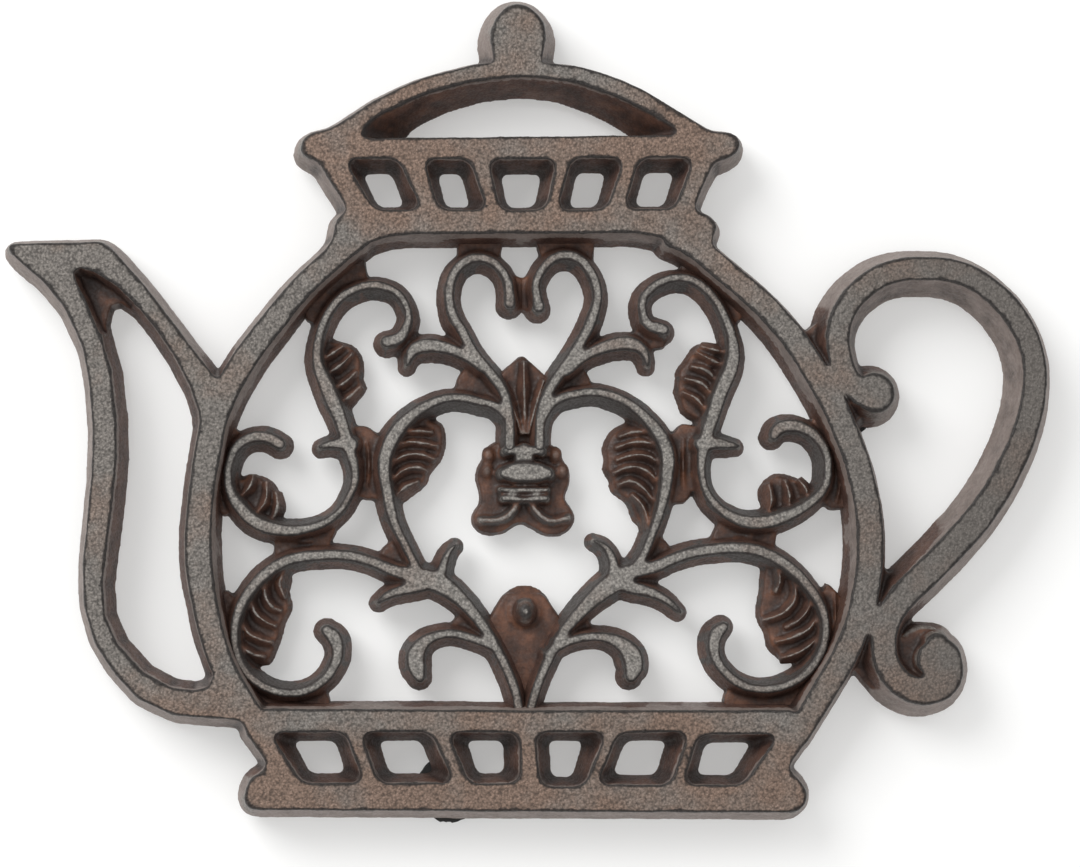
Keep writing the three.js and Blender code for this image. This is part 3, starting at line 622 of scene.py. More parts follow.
# %% Scrollwork, right half
RIGHT_BARS = [
    # trunk, thorn and the small leaf under it
    [(1.3, 19.5, 1), (2.2, 23, 1), (3.6, 27, 1), (5.4, 31, 1.05), (7.6, 35.2, 1.1),
     (10.2, 38.6, 1.3), (13.2, 41.8, 1.7), (16.5, 44.6, 2.2), (19.3, 46.5, 2.5)],
    [(17.6, 45.5, 1.8), (18, 48, 1.2), (17.6, 50.6, 0.9), (16.2, 52.8, 0.6), (14.2, 53.9, 0.2)],
    [(18.6, 46, 1.8), (21.5, 44.8, 1.4), (25, 43.9, 1.1), (28.5, 42.2, 0.8), (31, 40, 0.3)],
    # lower scroll
    [(18.6, 46.6, 2.2), (22, 48, 1.7), (26, 48.8, 1.35), (30, 50.5, 1.2), (34, 51.7, 1.2),
     (38, 52.3, 1.2), (42, 52.6, 1.25), (46, 52.2, 1.25), (50, 50.6, 1.25), (53.5, 48.2, 1.2),
     (56.5, 45, 1.1), (58.8, 41.5, 1), (59.8, 38, 0.9), (59.6, 34, 0.9), (58.3, 30.8, 0.9),
     (56, 28, 0.9), (53, 26, 0.9), (49.5, 24.9, 0.9), (46, 24.9, 0.9), (43, 25.8, 1),
     (40.3, 27.8, 1), (38.3, 30.5, 1.1), (37.7, 33.5, 1.4), (38.4, 35.8, 1.5), (39.6, 37, 1.1)],
    # short inner curl
    [(5, 31.6, 0.9), (7, 33, 0.9), (10, 34.4, 0.9), (13, 35, 0.9), (16, 34.9, 1),
     (19, 33.9, 1.5), (21.4, 31.6, 2.2), (21.9, 29, 2.2), (21.4, 27.4, 1.4)],
    # C scroll running into the ring scroll, and its spur
    [(28, 95.8, 1.2), (26.6, 96.2, 1.3), (25, 96.8, 1.1), (23.9, 99, 0.9), (24, 102, 0.8),
     (25.5, 104, 0.9), (28, 105.5, 0.9), (31, 106.2, 0.9), (34, 105.6, 0.9), (36.5, 103.8, 0.9),
     (38.5, 101.5, 0.9), (40.3, 98, 0.9), (41.5, 94.5, 1.1), (41.9, 91, 1.5), (41.3, 88, 1.6),
     (40, 85, 1.6), (38.8, 82, 1.6), (37.8, 79, 1.5), (36.8, 76, 1.4), (36, 73, 1.3),
     (35.5, 70, 1), (35.6, 66.5, 0.8), (36.5, 63.5, 0.8), (38.5, 60.8, 0.9), (41, 59, 1.1),
     (44, 57.8, 1.4), (47.5, 57.7, 1.5), (51, 58.5, 1.4), (54.5, 60, 1.2), (57.5, 62, 1),
     (59.8, 64.6, 0.9), (60.5, 68, 0.9), (60.2, 71.3, 0.9), (58.5, 74.3, 1), (56, 76.2, 1.2),
     (53, 76.8, 1.4), (50.8, 76.2, 1.4), (49.8, 74.8, 1)],
    [(35.5, 73.2, 1.6), (38.6, 73.3, 1.2), (41, 73, 0.7), (42.6, 72.8, 0.3)],
    # heart and its branch
    [(3.2, 100.2, 1.3), (2.8, 102.4, 1), (2.6, 104.5, 0.9), (3.8, 107.5, 0.9), (6, 109.8, 1),
     (9, 110.5, 1), (11.5, 109.6, 1), (13.4, 107.4, 1), (14.6, 104.5, 1), (14.8, 101.5, 1),
     (14, 98.5, 1.1), (12.9, 95.8, 1.1), (11.4, 93, 1.1), (9.5, 89.8, 1.2), (7.3, 86.8, 1.1),
     (5.5, 84, 1.1), (4.2, 81, 1.1), (3.6, 78, 1.1), (3.4, 72.6, 1.1)],
    [(8.6, 87.4, 1), (10, 88.5, 1), (12.5, 90.6, 1.1), (15.5, 92, 1.3), (18.5, 92.9, 1.5),
     (21.5, 93, 1.5), (23.6, 91.9, 1.1), (24.6, 90, 0.6), (24.8, 88.8, 0.3)],
    # inner scroll
    [(3.4, 76.8, 1), (5, 80, 1), (7, 81.8, 0.9), (10, 82.8, 0.9), (14.5, 83.3, 0.9),
     (18, 82.5, 1), (21.5, 80.8, 1), (24.5, 78.2, 1.2), (26.8, 75.5, 1.4), (28.3, 72.5, 1.5),
     (28.8, 70, 1.5), (28.6, 67, 1.4), (28, 63, 1.2), (26.8, 58.5, 1), (25.5, 55, 0.9),
     (24.3, 52, 0.9), (22.6, 49, 1.1)],
]
RIGHT_LEAVES = [
    [(47.3, 44.5), (46.8, 42), (46.4, 40), (47, 38), (48.3, 36), (48.7, 32.8), (50.5, 31.4),
     (51.8, 30), (56, 30), (59, 34), (58.8, 40), (56, 45), (51, 49.5), (48.5, 51.5),
     (47.5, 48)],
    [(48, 60.5), (46.8, 64), (48.5, 66.5), (51, 68), (54, 67.2), (56.5, 66), (59.5, 64.5),
     (56, 61.5), (51, 58.8), (47, 58)],
    [(38, 94), (34.5, 93.5), (32.5, 90.5), (30.5, 87.8), (30.8, 86.5), (30.2, 83.5),
     (31, 82), (31.5, 79.5), (36, 77), (40, 85), (41.5, 90)],
    [(21, 78), (17.5, 76), (15.8, 72.5), (16.5, 70), (15.8, 68.5), (17.5, 66), (17.3, 64.2),
     (21, 61.5), (22, 58), (25.5, 55.5), (28, 62), (28.6, 69), (26, 76)],
]
RIGHT_CRESTS = [
    # lower scroll's leaf
    [(49.8, 50), (51, 46.8), (50.2, 43.6)],
    [(53.2, 47.2), (54.2, 43.6), (52.6, 40.6), (49.8, 39), (47.4, 38.4)],
    [(56.2, 45.2), (57, 42), (55.4, 39), (52, 36.8)],
    [(58.6, 40.6), (57.4, 37.4), (54, 35.2), (50, 34)],
    [(59, 35.6), (56.6, 33.2), (53.6, 31.6), (51, 30.8)],
    # ring scroll's leaf
    [(48.4, 58.6), (49.4, 62), (49, 65.6)],
    [(52.4, 59.6), (53, 62.6), (52.2, 66.4)],
    [(56.2, 61.6), (56.4, 64), (54.8, 66.4)],
    # C scroll's leaf
    [(41, 91.4), (38, 92), (35.4, 92.8)],
    [(40.8, 88.6), (37.6, 90), (34.4, 91.8)],
    [(39.4, 85), (36.6, 87.8), (33.4, 88.8)],
    [(38.2, 81.8), (36, 85), (32.2, 86.4)],
    [(37, 78.6), (34.8, 82), (31.6, 83.8)],
    # inner scroll's leaf
    [(26.6, 75.4), (22.4, 75.6), (19, 74.6)],
    [(28.4, 70.8), (26.2, 73), (22.6, 73.6), (18.4, 72.4)],
    [(28.4, 67.8), (25.8, 70.4), (22.4, 71), (18.6, 70)],
    [(27.6, 64.6), (24.8, 67.8), (21.4, 68.6), (18, 67.4)],
    [(26.6, 61), (24, 64.4), (21.4, 65.8), (18.8, 65)],
    [(22.6, 50), (24.6, 53), (24.9, 57.2), (23.8, 61), (21.6, 63.4)],
]
print("right half:", len(RIGHT_BARS), "bars,", len(RIGHT_LEAVES), "leaves")

# %% [markdown]
# The webs are the low, flat bridges that let the iron run from one scroll to the next and tie the
# scrollwork to the frame. They lie well below the ridges, so dirt and rust stay in them.

# %% Webs and seams between the scrolls
LEFT_WEBS = [
    [(-52.5, 19), (-38.2, 19), (-37.6, 23), (-40.4, 26), (-46, 24.4), (-50.5, 26), (-54.6, 23)],
    [(-57.2, 24), (-51.5, 26), (-55.4, 32), (-55.6, 41), (-58.2, 44.5), (-62, 40), (-60, 31)],
    [(-5, 31.5), (-12.4, 35.6), (-14, 38), (-10.6, 40.2), (-7, 36)],
    [(-42.6, 97.4), (-39, 97.6), (-36.2, 102), (-30.6, 105.2), (-31.6, 111.4), (-37, 110.4),
     (-44, 103)],
    [(-33.4, 67), (-28, 66), (-28, 74.6), (-31.2, 77), (-35, 76)],
    [(-58.4, 58.6), (-56.8, 62), (-57.2, 70), (-55, 74.2), (-58.8, 79), (-62.6, 70), (-62.6, 62)],
    [(-48.6, 50.4), (-38, 50.6), (-38.2, 53.6), (-36.4, 56.4), (-41, 56.6), (-48.6, 56.8)],
    [(-31.8, 62.4), (-26.8, 62.4), (-27.4, 66.6), (-27, 70), (-33, 68)],
    [(-12.6, 108), (-5, 108.6), (-3.7, 114.4), (-12.6, 114.4)],
    [(-4.2, 100.4), (0.2, 99.6), (0.2, 106.6), (-3.2, 106.8)],
    [(-25.5, 91.4), (-19, 91.6), (-20.8, 94.4), (-23.4, 95.6), (-28.2, 94.2)],
    [(-5.4, 81.2), (-13.2, 82.6), (-12.6, 86.6), (-9.4, 90)],
    [(-26, 46.5), (-21, 46), (-22, 52), (-25, 54.5), (-28, 52)],
]
RIGHT_WEBS = [
    [(53.5, 19), (40.5, 19), (40, 23.6), (43, 26.4), (48, 25), (53, 26), (57, 24)],
    [(58, 25), (55.5, 27.5), (59.5, 33), (59.8, 39.5), (60.5, 46), (65.5, 41), (62.5, 31)],
    [(4.6, 30.6), (12, 35), (14, 37.6), (11, 40), (7, 35)],
    [(43.6, 97.8), (40.4, 98.2), (37.4, 103), (32, 106.4), (31.8, 110.6), (37, 109.6),
     (45, 102.5)],
    [(35.4, 66), (29, 65.5), (29, 74), (32, 77.6), (36.5, 76)],
    [(61, 60.5), (59.6, 64), (60.4, 71), (57.6, 75.4), (58.6, 80.4), (66.5, 68), (66.5, 61)],
    [(50, 52), (37, 52.6), (38.4, 56.4), (40.5, 59.5), (46, 58), (51, 58)],
    [(32.5, 61.6), (27.8, 62), (28.6, 66), (28.6, 70), (35.6, 67.5)],
    [(14, 108.6), (4.5, 109), (2.5, 115), (14.5, 115)],
    [(4.2, 100), (-0.2, 99.6), (-0.2, 106.6), (3.2, 106.8)],
    [(28.5, 92.5), (21, 92.6), (22.4, 95.6), (24.6, 97), (29.2, 96)],
    [(6, 81.6), (13.6, 83.2), (13.6, 86.4), (10.4, 90)],
    [(27.5, 48), (21.5, 47), (22.8, 52.5), (26, 56), (29.5, 53.2)],
]
LEFT_SEAMS = [
    [(-58, 76.6), (-60, 71), (-60.3, 65), (-59.2, 60)],
    [(-59.4, 44), (-59.2, 37), (-57.6, 30), (-54.2, 24.6)],
    [(-39.5, 103.5), (-36, 107), (-32.5, 109)],
    [(-30.6, 73.6), (-30.2, 69), (-30.6, 64.6)],
    [(-44.6, 53.6), (-41.4, 53.8)],
]
RIGHT_SEAMS = [
    [(60.4, 77), (62.8, 71.6), (63.4, 66), (62.6, 61.6)],
    [(62.2, 44), (62, 37), (60, 29.6), (56.6, 24)],
    [(42, 103), (38, 106.4), (34, 109)],
    [(32.2, 74.4), (32, 69), (32.2, 64.4)],
    [(42, 54.7), (46, 54.9)],
]
print("webs:", len(LEFT_WEBS), "and", len(RIGHT_WEBS))

# %% [markdown]
# Each half is then a heap of five kinds of shape: bars for the scrolls, a low panel under each
# leaf, sharp crests on the leaves, thin panels for the webs, and lower crests as seams on them.
# A crest is a bar whose top is narrower than nothing, so that its two leaning sides meet in an
# edge, which drops towards the ends.

# %% The two halves
SCROLL_LEAN = SCROLL_DRAFT + 0.2
# A scroll's flat top takes this share of its drawn width, the rest rounds over into the sides.
TOP_SHARE = 0.82
SCROLL_WEB_CORNER = 1.2
SCROLL_WEB_DRAFT = 0.4
LEAF_INSET = 0.9
LEAF_CORNER = 1
LEAF_DRAFT = 1.1
SEAM_TOP = 8.6
SEAM_LEAN = 1.1
SEAM_BOTTOM = 5.5


def crest(points, top=LEAF_CREST, lean=1.9, low=5.6):
    """A sharp ridge of a leaf: it rises out of the leaf's body and fades at both its ends."""
    count = len(points) - 1
    # from 0.72 at the ends to 1 in the middle
    swell = [0.55 + 0.45 * math.sin(math.pi * (0.12 + 0.76 * i / count)) for i in range(count + 1)]
    line = [(x, y, lean * share - lean) for (x, y), share in zip(points, swell)]
    return bar(line, top, lean, low)


def scrollwork(name, bars, leaves, crests, webs, seams):
    parts = [
        bar([(x, y, half * TOP_SHARE) for x, y, half in line], SCROLL_TOP, SCROLL_LEAN)
        for line in bars]
    parts += [
        panel(rounded(grown(leaf, -LEAF_INSET), LEAF_CORNER), LEAF_BODY, LEAF_DRAFT)
        for leaf in leaves]
    parts += [crest(line) for line in crests]
    parts += [panel(rounded(web, SCROLL_WEB_CORNER), WEB_TOP, SCROLL_WEB_DRAFT) for web in webs]
    parts += [crest(line, SEAM_TOP, SEAM_LEAN, SEAM_BOTTOM) for line in seams]
    print(name, len(parts), "parts, open edges:", sum(open_edges(part) for part in parts))
    return joined(parts, name)


scrollwork_left = scrollwork(
    "scrollwork_left", LEFT_BARS, LEFT_LEAVES, LEFT_CRESTS, LEFT_WEBS, LEFT_SEAMS)
scrollwork_right = scrollwork(
    "scrollwork_right", RIGHT_BARS, RIGHT_LEAVES, RIGHT_CRESTS, RIGHT_WEBS, RIGHT_SEAMS)

# %% [markdown]
# ## The middle: fan, urn and bud
# On the centre line a small fan of three ribs stands on an urn with two drops below it, and a
# round bud sits in the fork of the trunks. They are low panels with rounds and ridges on them.

# %% Outlines of fan, urn and bud
FAN = [(-2.8, 72.8), (3.6, 72.8), (5, 80), (6.6, 85.4), (4.2, 87.2), (0.1, 91), (-4.2, 87.2),
       (-5.9, 85), (-4.2, 80)]
FAN_RIBS = [
    [(0.3, 89.8), (0.4, 84), (0.6, 75)],
    [(-4.2, 86.2), (-2.2, 81), (0, 75)],
    [(4.4, 86), (2.8, 81), (1.2, 75)],
]
URN = [
    (-5.4, 73.4), (-7.2, 72), (-7.3, 70.5), (-8.6, 68), (-8.7, 66), (-8, 64), (-7.8, 61.5),
    (-9.4, 59.5), (-9.6, 57.8), (-8.5, 56.2), (-6.5, 55.5), (-3.7, 55.9), (-1.4, 57.6),
    (0.3, 58), (2.7, 56.6), (5, 55.4), (7.7, 55.5), (9.7, 57), (10.3, 58.8), (9.6, 60.4),
    (8.2, 62), (8.2, 63.5), (9.2, 65.5), (9.3, 68), (7.8, 70), (7.1, 71.8), (5.2, 73.4),
]
URN_TIERS = [
    # line of x, y and half the width, then the height of its top and its draft
    ([(-3.2, 71.6, 0.8), (0.2, 71.9, 0.7), (3.8, 71.6, 0.8)], 10.8, 0.8),
    ([(0.3, 71.4, 1.7), (0.4, 69, 1.7)], 10.6, 0.6),
    ([(-3.6, 67.2, 1.0), (-2, 67.3, 1.7), (0.6, 67.4, 1.9), (3.2, 67.3, 1.7), (5, 67.2, 1.0)],
     11.8, 1.1),
    ([(-4.2, 64, 0.4), (0.5, 63.9, 0.5), (5, 64, 0.4)], 10.6, 0.7),
    ([(-3.7, 62.3, 0.6), (0.4, 62.1, 0.4), (4.6, 62.3, 0.6)], 10.6, 0.8),
]
URN_SHOULDERS = [(-6.9, 67.8), (8, 67.8), (-6.6, 71), (6.6, 71)]
URN_DROPS = [
    [(-0.9, 62), (-1.8, 59.9), (-4.2, 58.2), (-8.1, 57.9)],
    [(1.6, 61.8), (2.8, 59.8), (5.2, 58), (9, 58.4)],
]
BUD = (0.6, 40)
BUD_WEB = [(0.6, 21), (4, 27), (9, 36.4), (4.2, 43.6), (-3.4, 43.6), (-7.6, 36.4), (-2.6, 27)]
HEART_BRIDGE = [(-3, 100.2), (3.2, 99.8), (3, 106.5), (-3, 106.5)]

# %% Fan, urn and bud
RELIEF_BOTTOM = 6
FAN_TOP, FAN_DRAFT = 6.8, 0.4
URN_TOP, URN_DRAFT = 7, 0.6
RIB_TOP, RIB_LEAN, RIB_BOTTOM = 10.4, 2, 5.8
SHOULDER_SIZE, SHOULDER_TOP = (1.5, 1.9), 8.4
DROP_HALF, DROP_TOP, DROP_DRAFT = 0.3, 10, 1.3
BUD_WEB_TOP, BUD_WEB_DRAFT = 6.4, 0.4
BUD_RADIUS, BUD_RIM_TOP, BUD_DRAFT = 3.2, 6.8, 2.4
BUD_DOME_SIZE, BUD_TOP = (2.4, 3), 11
BRIDGE_TOP, BRIDGE_DRAFT = 6.6, 0.3

middle_parts = [
    panel(rounded(FAN, 0.8), FAN_TOP, FAN_DRAFT), panel(rounded(URN, 1), URN_TOP, URN_DRAFT)]
middle_parts += [crest(rib, RIB_TOP, RIB_LEAN, RIB_BOTTOM) for rib in FAN_RIBS]
middle_parts += [bar(line, top, draft, RELIEF_BOTTOM) for line, top, draft in URN_TIERS]
middle_parts += [
    dome(spot, SHOULDER_SIZE, SHOULDER_TOP, RELIEF_BOTTOM) for spot in URN_SHOULDERS]
middle_parts += [
    bar([(x, y, DROP_HALF) for x, y in drop], DROP_TOP, DROP_DRAFT, RELIEF_BOTTOM)
    for drop in URN_DROPS]
middle_parts.append(panel(rounded(BUD_WEB, 1), BUD_WEB_TOP, BUD_WEB_DRAFT))
middle_parts.append(round_boss(BUD, BUD_RADIUS, BUD_RIM_TOP, BUD_DRAFT))
middle_parts.append(dome(BUD, BUD_DOME_SIZE, BUD_TOP, RELIEF_BOTTOM))
middle_parts.append(panel(HEART_BRIDGE, BRIDGE_TOP, BRIDGE_DRAFT))
print("middle", len(middle_parts), "parts, open edges:", sum(open_edges(p) for p in middle_parts))
middle = joined(middle_parts, "middle_ornament")
iron_frame = joined(frame_parts, "iron_frame")

# %% [markdown]
# ## Melting it together
# So far each piece is a heap of overlapping shapes. A voxel remesh turns the heap into one skin,
# with the soft inner corners that molten iron leaves. A little smoothing rounds the edges, and
# two noises push the skin in and out by a tenth of a millimetre or so: a slow one for the way
# sand gives under the iron, and a fine one that nibbles the edges. The two halves of the
# scrollwork reach into the frame, so that no gap shows where they meet it.

# %% Casting
VOXEL = 0.34
MOST_TRIANGLES = 190000
SMOOTHING_ROUNDS = 6
SLOW_PUSH = 0.22
FINE_PUSH = 0.14
PUSH_MIDDLE = 0.55
CROWN_MARGIN = 0.02


def clouds(name, size, depth):
    texture = bpy.data.textures.new(name, "CLOUDS")
    texture.noise_scale = size
    texture.noise_depth = depth
    return texture


slow_sand = clouds("slow_sand", 5.0, 1)
fine_sand = clouds("fine_sand", 0.9, 2)


def flatten_crown(piece):
    """Brings grains that stand over the top plane, or past the handle, back to their line."""
    for vertex in piece.data.vertices:
        vertex.co.z = min(vertex.co.z, FRAME_TOP - CROWN_MARGIN)
        vertex.co.x = min(vertex.co.x, HANDLE_END)


def cast(piece):
    apply_modifier(piece, "REMESH", mode="VOXEL", voxel_size=VOXEL, adaptivity=0)
    apply_modifier(piece, "SMOOTH", factor=0.5, iterations=SMOOTHING_ROUNDS)
    for texture, strength in ((slow_sand, SLOW_PUSH), (fine_sand, FINE_PUSH)):
        apply_modifier(
            piece, "DISPLACE", texture=texture, strength=strength, mid_level=PUSH_MIDDLE,
            texture_coords="LOCAL")
    triangles = 2 * len(piece.data.polygons)
    if triangles > MOST_TRIANGLES:
        apply_modifier(piece, "DECIMATE", ratio=MOST_TRIANGLES / triangles)
    flatten_crown(piece)
    only(piece)
    bpy.ops.object.shade_smooth()
    print(piece.name, "melted:", triangles, "triangles, kept", len(piece.data.polygons))


# %% Place in the part's frame
def settle(piece):
    """From millimetres in the drawing to metres in the part, with the place in the mesh."""
    only(piece)
    piece.scale = (MM, MM, MM)
    piece.location = SHIFT
    bpy.ops.object.transform_apply(location=True, scale=True)


iron = [iron_frame, scrollwork_left, scrollwork_right, middle]
for piece in iron:
    cast(piece)
    settle(piece)


# %% [markdown]
# ## Hollows and crests
# Wear is not painted by hand: it follows the form. Crests are rubbed bright, and hollows are made
# darker. To know which is which, the mesh is blurred and compared with itself. Where the blurred
# skin lies above the real one there is a hollow, where it lies below there is a crest.
# The result is kept on the points as an attribute that the finish reads.

# %% The relief attribute
def mark_relief(piece, rounds=14, full=0.00025):
    mesh = piece.data
    count = len(mesh.vertices)
    places = np.empty(count * 3)
    mesh.vertices.foreach_get("co", places)
    places = places.reshape(count, 3)
    normals = np.empty(count * 3)
    mesh.vertices.foreach_get("normal", normals)
    normals = normals.reshape(count, 3)
    ends = np.empty(len(mesh.edges) * 2, dtype=np.int64)
    mesh.edges.foreach_get("vertices", ends)
    a, b = ends.reshape(-1, 2).T
    degree = np.bincount(a, minlength=count) + np.bincount(b, minlength=count)
    blurred = places.copy()
    for _ in range(rounds):
        total = np.empty_like(blurred)
        for axis in range(3):
            total[:, axis] = np.bincount(a, blurred[b, axis], count) \
                + np.bincount(b, blurred[a, axis], count)
        blurred = 0.5 * blurred + 0.5 * total / np.maximum(degree, 1)[:, None]
    height = ((places - blurred) * normals).sum(axis=1)
    relief = np.clip(height / full, -1, 1) * 0.5 + 0.5
    attribute = mesh.attributes.new("relief", "FLOAT", "POINT")
    attribute.data.foreach_set("value", relief.astype(np.float32))
    print(piece.name, "relief from", round(relief.min(), 2), "to", round(relief.max(), 2))


for piece in iron:
    mark_relief(piece)

# %% [markdown]
# A side that faces another wall close by is darker and browner than one that faces the open:
# partly the brown mould wash, and partly painted shade, because less light reaches it there. A ray
# sent outward from each point, nearly level, finds how near the next wall stands, and that is kept
# as a second attribute.

# %% The wash and shade attribute
def mark_wash_and_shade(pieces, reach=0.022, lift=0.0004):
    """How near the next wall stands, from 0 in the open to 1 close by."""
    corners, faces = [], []
    for piece in pieces:
        start = len(corners)
        corners += [vertex.co.copy() for vertex in piece.data.vertices]
        faces += [[start + i for i in polygon.vertices] for polygon in piece.data.polygons]
    walls = BVHTree.FromPolygons(corners, faces)
    for piece in pieces:
        values = []
        for vertex in piece.data.vertices:
            outward = Vector((vertex.normal.x, vertex.normal.y, 0.12))
            near = 0.0
            if outward.xy.length > 0.5:
                hit = walls.ray_cast(vertex.co + vertex.normal * lift, outward.normalized(), reach)
                near = 1 - hit[3] / reach if hit[0] else 0.0
            values.append(near)
        attribute = piece.data.attributes.new("wash_and_shade", "FLOAT", "POINT")
        attribute.data.foreach_set("value", values)
        print(piece.name, "mean shelter", round(sum(values) / len(values), 2))


mark_wash_and_shade(iron)

# %% [markdown]
# ## The rubber feet
# A foot is a soft black cup, pressed over a stud. It is turned from a plain disc: the top is inset
# and pushed down for the bore, the rims are bevelled, and a thin ragged fin of flash is left
# round the sole, where the mould closed. No two fins tear alike, so each foot has its own.

# %% Feet
FOOT_RADIUS = 6.8
FOOT_HEIGHT = 3.7
FOOT_BORE = 3.15
FOOT_SIDES = 72
CUP_RADIUS = FOOT_RADIUS - 0.35
FLASH_HEIGHT = 0.9
FLASH_TOP = FLASH_HEIGHT + 0.35
FLASH_REACH = 0.32


def cup(centre):
    """The body of a foot, with the bore that takes the stud sunk into its top."""
    bpy.ops.object.select_all(action="DESELECT")
    bpy.ops.mesh.primitive_cylinder_add(
        vertices=FOOT_SIDES, radius=CUP_RADIUS, depth=FOOT_HEIGHT,
        location=(centre[0], centre[1], FOOT_HEIGHT / 2))
    foot = bpy.context.object
    bpy.ops.object.transform_apply(location=True)
    bpy.ops.object.mode_set(mode="EDIT")
    bpy.ops.mesh.select_all(action="DESELECT")
    bpy.ops.object.mode_set(mode="OBJECT")
    for polygon in foot.data.polygons:
        polygon.select = polygon.normal.z > 0.9
    bpy.ops.object.mode_set(mode="EDIT")
    bpy.ops.mesh.inset(thickness=CUP_RADIUS - FOOT_BORE)
    bpy.ops.mesh.extrude_region_move(
        TRANSFORM_OT_translate={"value": (0, 0, STUD_BOTTOM - FOOT_HEIGHT)})
    bpy.ops.object.mode_set(mode="OBJECT")
    return foot


# %% Flash
FIN_FROM = FOOT_RADIUS - 0.2
FIN_SHARE = 0.985
TEAR_SHARE = 0.05
RAG_SHARE = 0.022


def pull_flash(foot):
    """Two level cuts round the cup, and the thin strip between them pulled outward."""
    bpy.ops.object.mode_set(mode="EDIT")
    for height in (FLASH_HEIGHT, FLASH_TOP):
        bpy.ops.mesh.select_all(action="SELECT")
        bpy.ops.mesh.bisect(plane_co=(0, 0, height), plane_no=(0, 0, 1))
    bpy.ops.mesh.select_all(action="DESELECT")
    bpy.ops.object.mode_set(mode="OBJECT")
    for polygon in foot.data.polygons:
        inside = FLASH_HEIGHT < polygon.center.z < FLASH_TOP
        outward = math.hypot(polygon.normal.x, polygon.normal.y) > 0.9
        polygon.select = inside and outward
    bpy.ops.object.mode_set(mode="EDIT")
    bpy.ops.mesh.extrude_region_shrink_fatten(TRANSFORM_OT_shrink_fatten={"value": FLASH_REACH})
    bpy.ops.object.mode_set(mode="OBJECT")


def tear_flash(foot, centre, seed):
    """Draws the fin's edge in by a chance amount, mostly little and now and then a bite."""
    dice = random.Random(seed)
    tears = [dice.random() ** 3 for _ in range(FOOT_SIDES)]
    for vertex in foot.data.vertices:
        arm = Vector((vertex.co.x - centre[0], vertex.co.y - centre[1]))
        if arm.length > FIN_FROM:
            turn = int(round(math.atan2(arm.y, arm.x) / (2 * math.pi) * FOOT_SIDES)) % FOOT_SIDES
            reach = FIN_SHARE - TEAR_SHARE * tears[turn] + RAG_SHARE * tears[turn - 3]
            vertex.co.x = centre[0] + arm.x * reach
            vertex.co.y = centre[1] + arm.y * reach


# %% The four feet
def rubber_foot(name, centre, seed):
    foot = cup(centre)
    pull_flash(foot)
    tear_flash(foot, centre, seed)
    apply_modifier(foot, "BEVEL", width=0.12, segments=2, limit_method="ANGLE")
    apply_modifier(foot, "SUBSURF", levels=1, render_levels=1)
    foot.name = name
    foot.data.name = name
    only(foot)
    bpy.ops.object.shade_smooth_by_angle(angle=math.radians(50))
    settle(foot)
    print(name, len(foot.data.polygons), "faces, open edges", open_edges(foot))
    return foot


FIRST_SEED = 11
feet = [
    rubber_foot(f"rubber_foot_{i + 1}", spot, FIRST_SEED + i) for i, spot in enumerate(STUDS)]

for outline in sections.values():
    bpy.data.objects.remove(outline)

# %% [markdown]
# ## What each piece stands for
# All the iron is one casting and rides on the part's single body, and so do the feet.

# %% Riding and replacing
FRAME_NODES = ["base_band", "lid", "belly_rim_left", "belly_rim_right", "knob", "spout", "handle"]
SCROLL_NODES = ["trunk", "c_scroll", "ring_scroll", "inner_scroll", "heart_curl"]

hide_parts(*FRAME_NODES)
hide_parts(*[f"{node}_left" for node in SCROLL_NODES])
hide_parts(*[f"{node}_right" for node in SCROLL_NODES])
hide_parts("fan", "urn", "bud")
for i, foot in enumerate(feet):
    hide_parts(f"foot_cap_{i + 1}")
    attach(foot, "root")
for piece in iron:
    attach(piece, "root")


# %% [markdown]
# ## The iron's finish
# Bare cast iron that was oiled and handled: the raised faces are a granular grey, the steep sides
# a smooth dark brown where the mould wash sat, with painted shade where another wall stands near,
# and the low webs rusty. Along each top edge runs a thin black line, partly soot where polish
# stops and partly painted shade where the face rolls over into the side.
#
# Two effects are shared, so they are node groups: **sand grain**, the tiny craters that sand
# prints into iron, and **patches**, slow drifts of tone. Each material feeds them its own sizes.

# %% Small helpers for materials
def nodes_of(tree):
    def add(kind, **settings):
        node = tree.nodes.new(kind)
        for name, value in settings.items():
            setattr(node, name, value)
        return node
    return add, tree.links.new


def srgb(red, green, blue):
    """A colour as it is seen, turned into the linear numbers that the shader wants."""
    def linear(value):
        value /= 255
        return value / 12.92 if value <= 0.04045 else ((value + 0.055) / 1.055) ** 2.4
    return (linear(red), linear(green), linear(blue), 1)


def ramp(add, link, source, stops, interpolation="LINEAR"):
    node = add("ShaderNodeValToRGB")
    band = node.color_ramp
    band.interpolation = interpolation
    while len(band.elements) < len(stops):
        band.elements.new(0.5)
    for element, (position, value) in zip(band.elements, stops):
        element.position = position
        element.color = value if isinstance(value, tuple) else (value, value, value, 1)
    link(source, node.inputs["Fac"])
    return node.outputs["Color"]


def toned(add, link, source, stops, tones):
    """A ramp through tones, each given as it is seen."""
    return ramp(add, link, source, [(stop, srgb(*tone)) for stop, tone in zip(stops, tones)])


def blend(add, link, factor, first, second, mode="MIX"):
    node = add("ShaderNodeMix", data_type="RGBA", blend_type=mode)
    for socket, value in ((0, factor), (6, first), (7, second)):
        if hasattr(value, "links"):
            link(value, node.inputs[socket])
        else:
            node.inputs[socket].default_value = value
    return node.outputs[2]


def math_node(add, link, operation, first, second=0.0, clamp=False):
    node = add("ShaderNodeMath", operation=operation, use_clamp=clamp)
    for socket, value in enumerate((first, second)):
        if hasattr(value, "links"):
            link(value, node.inputs[socket])
        else:
            node.inputs[socket].default_value = value
    return node.outputs[0]


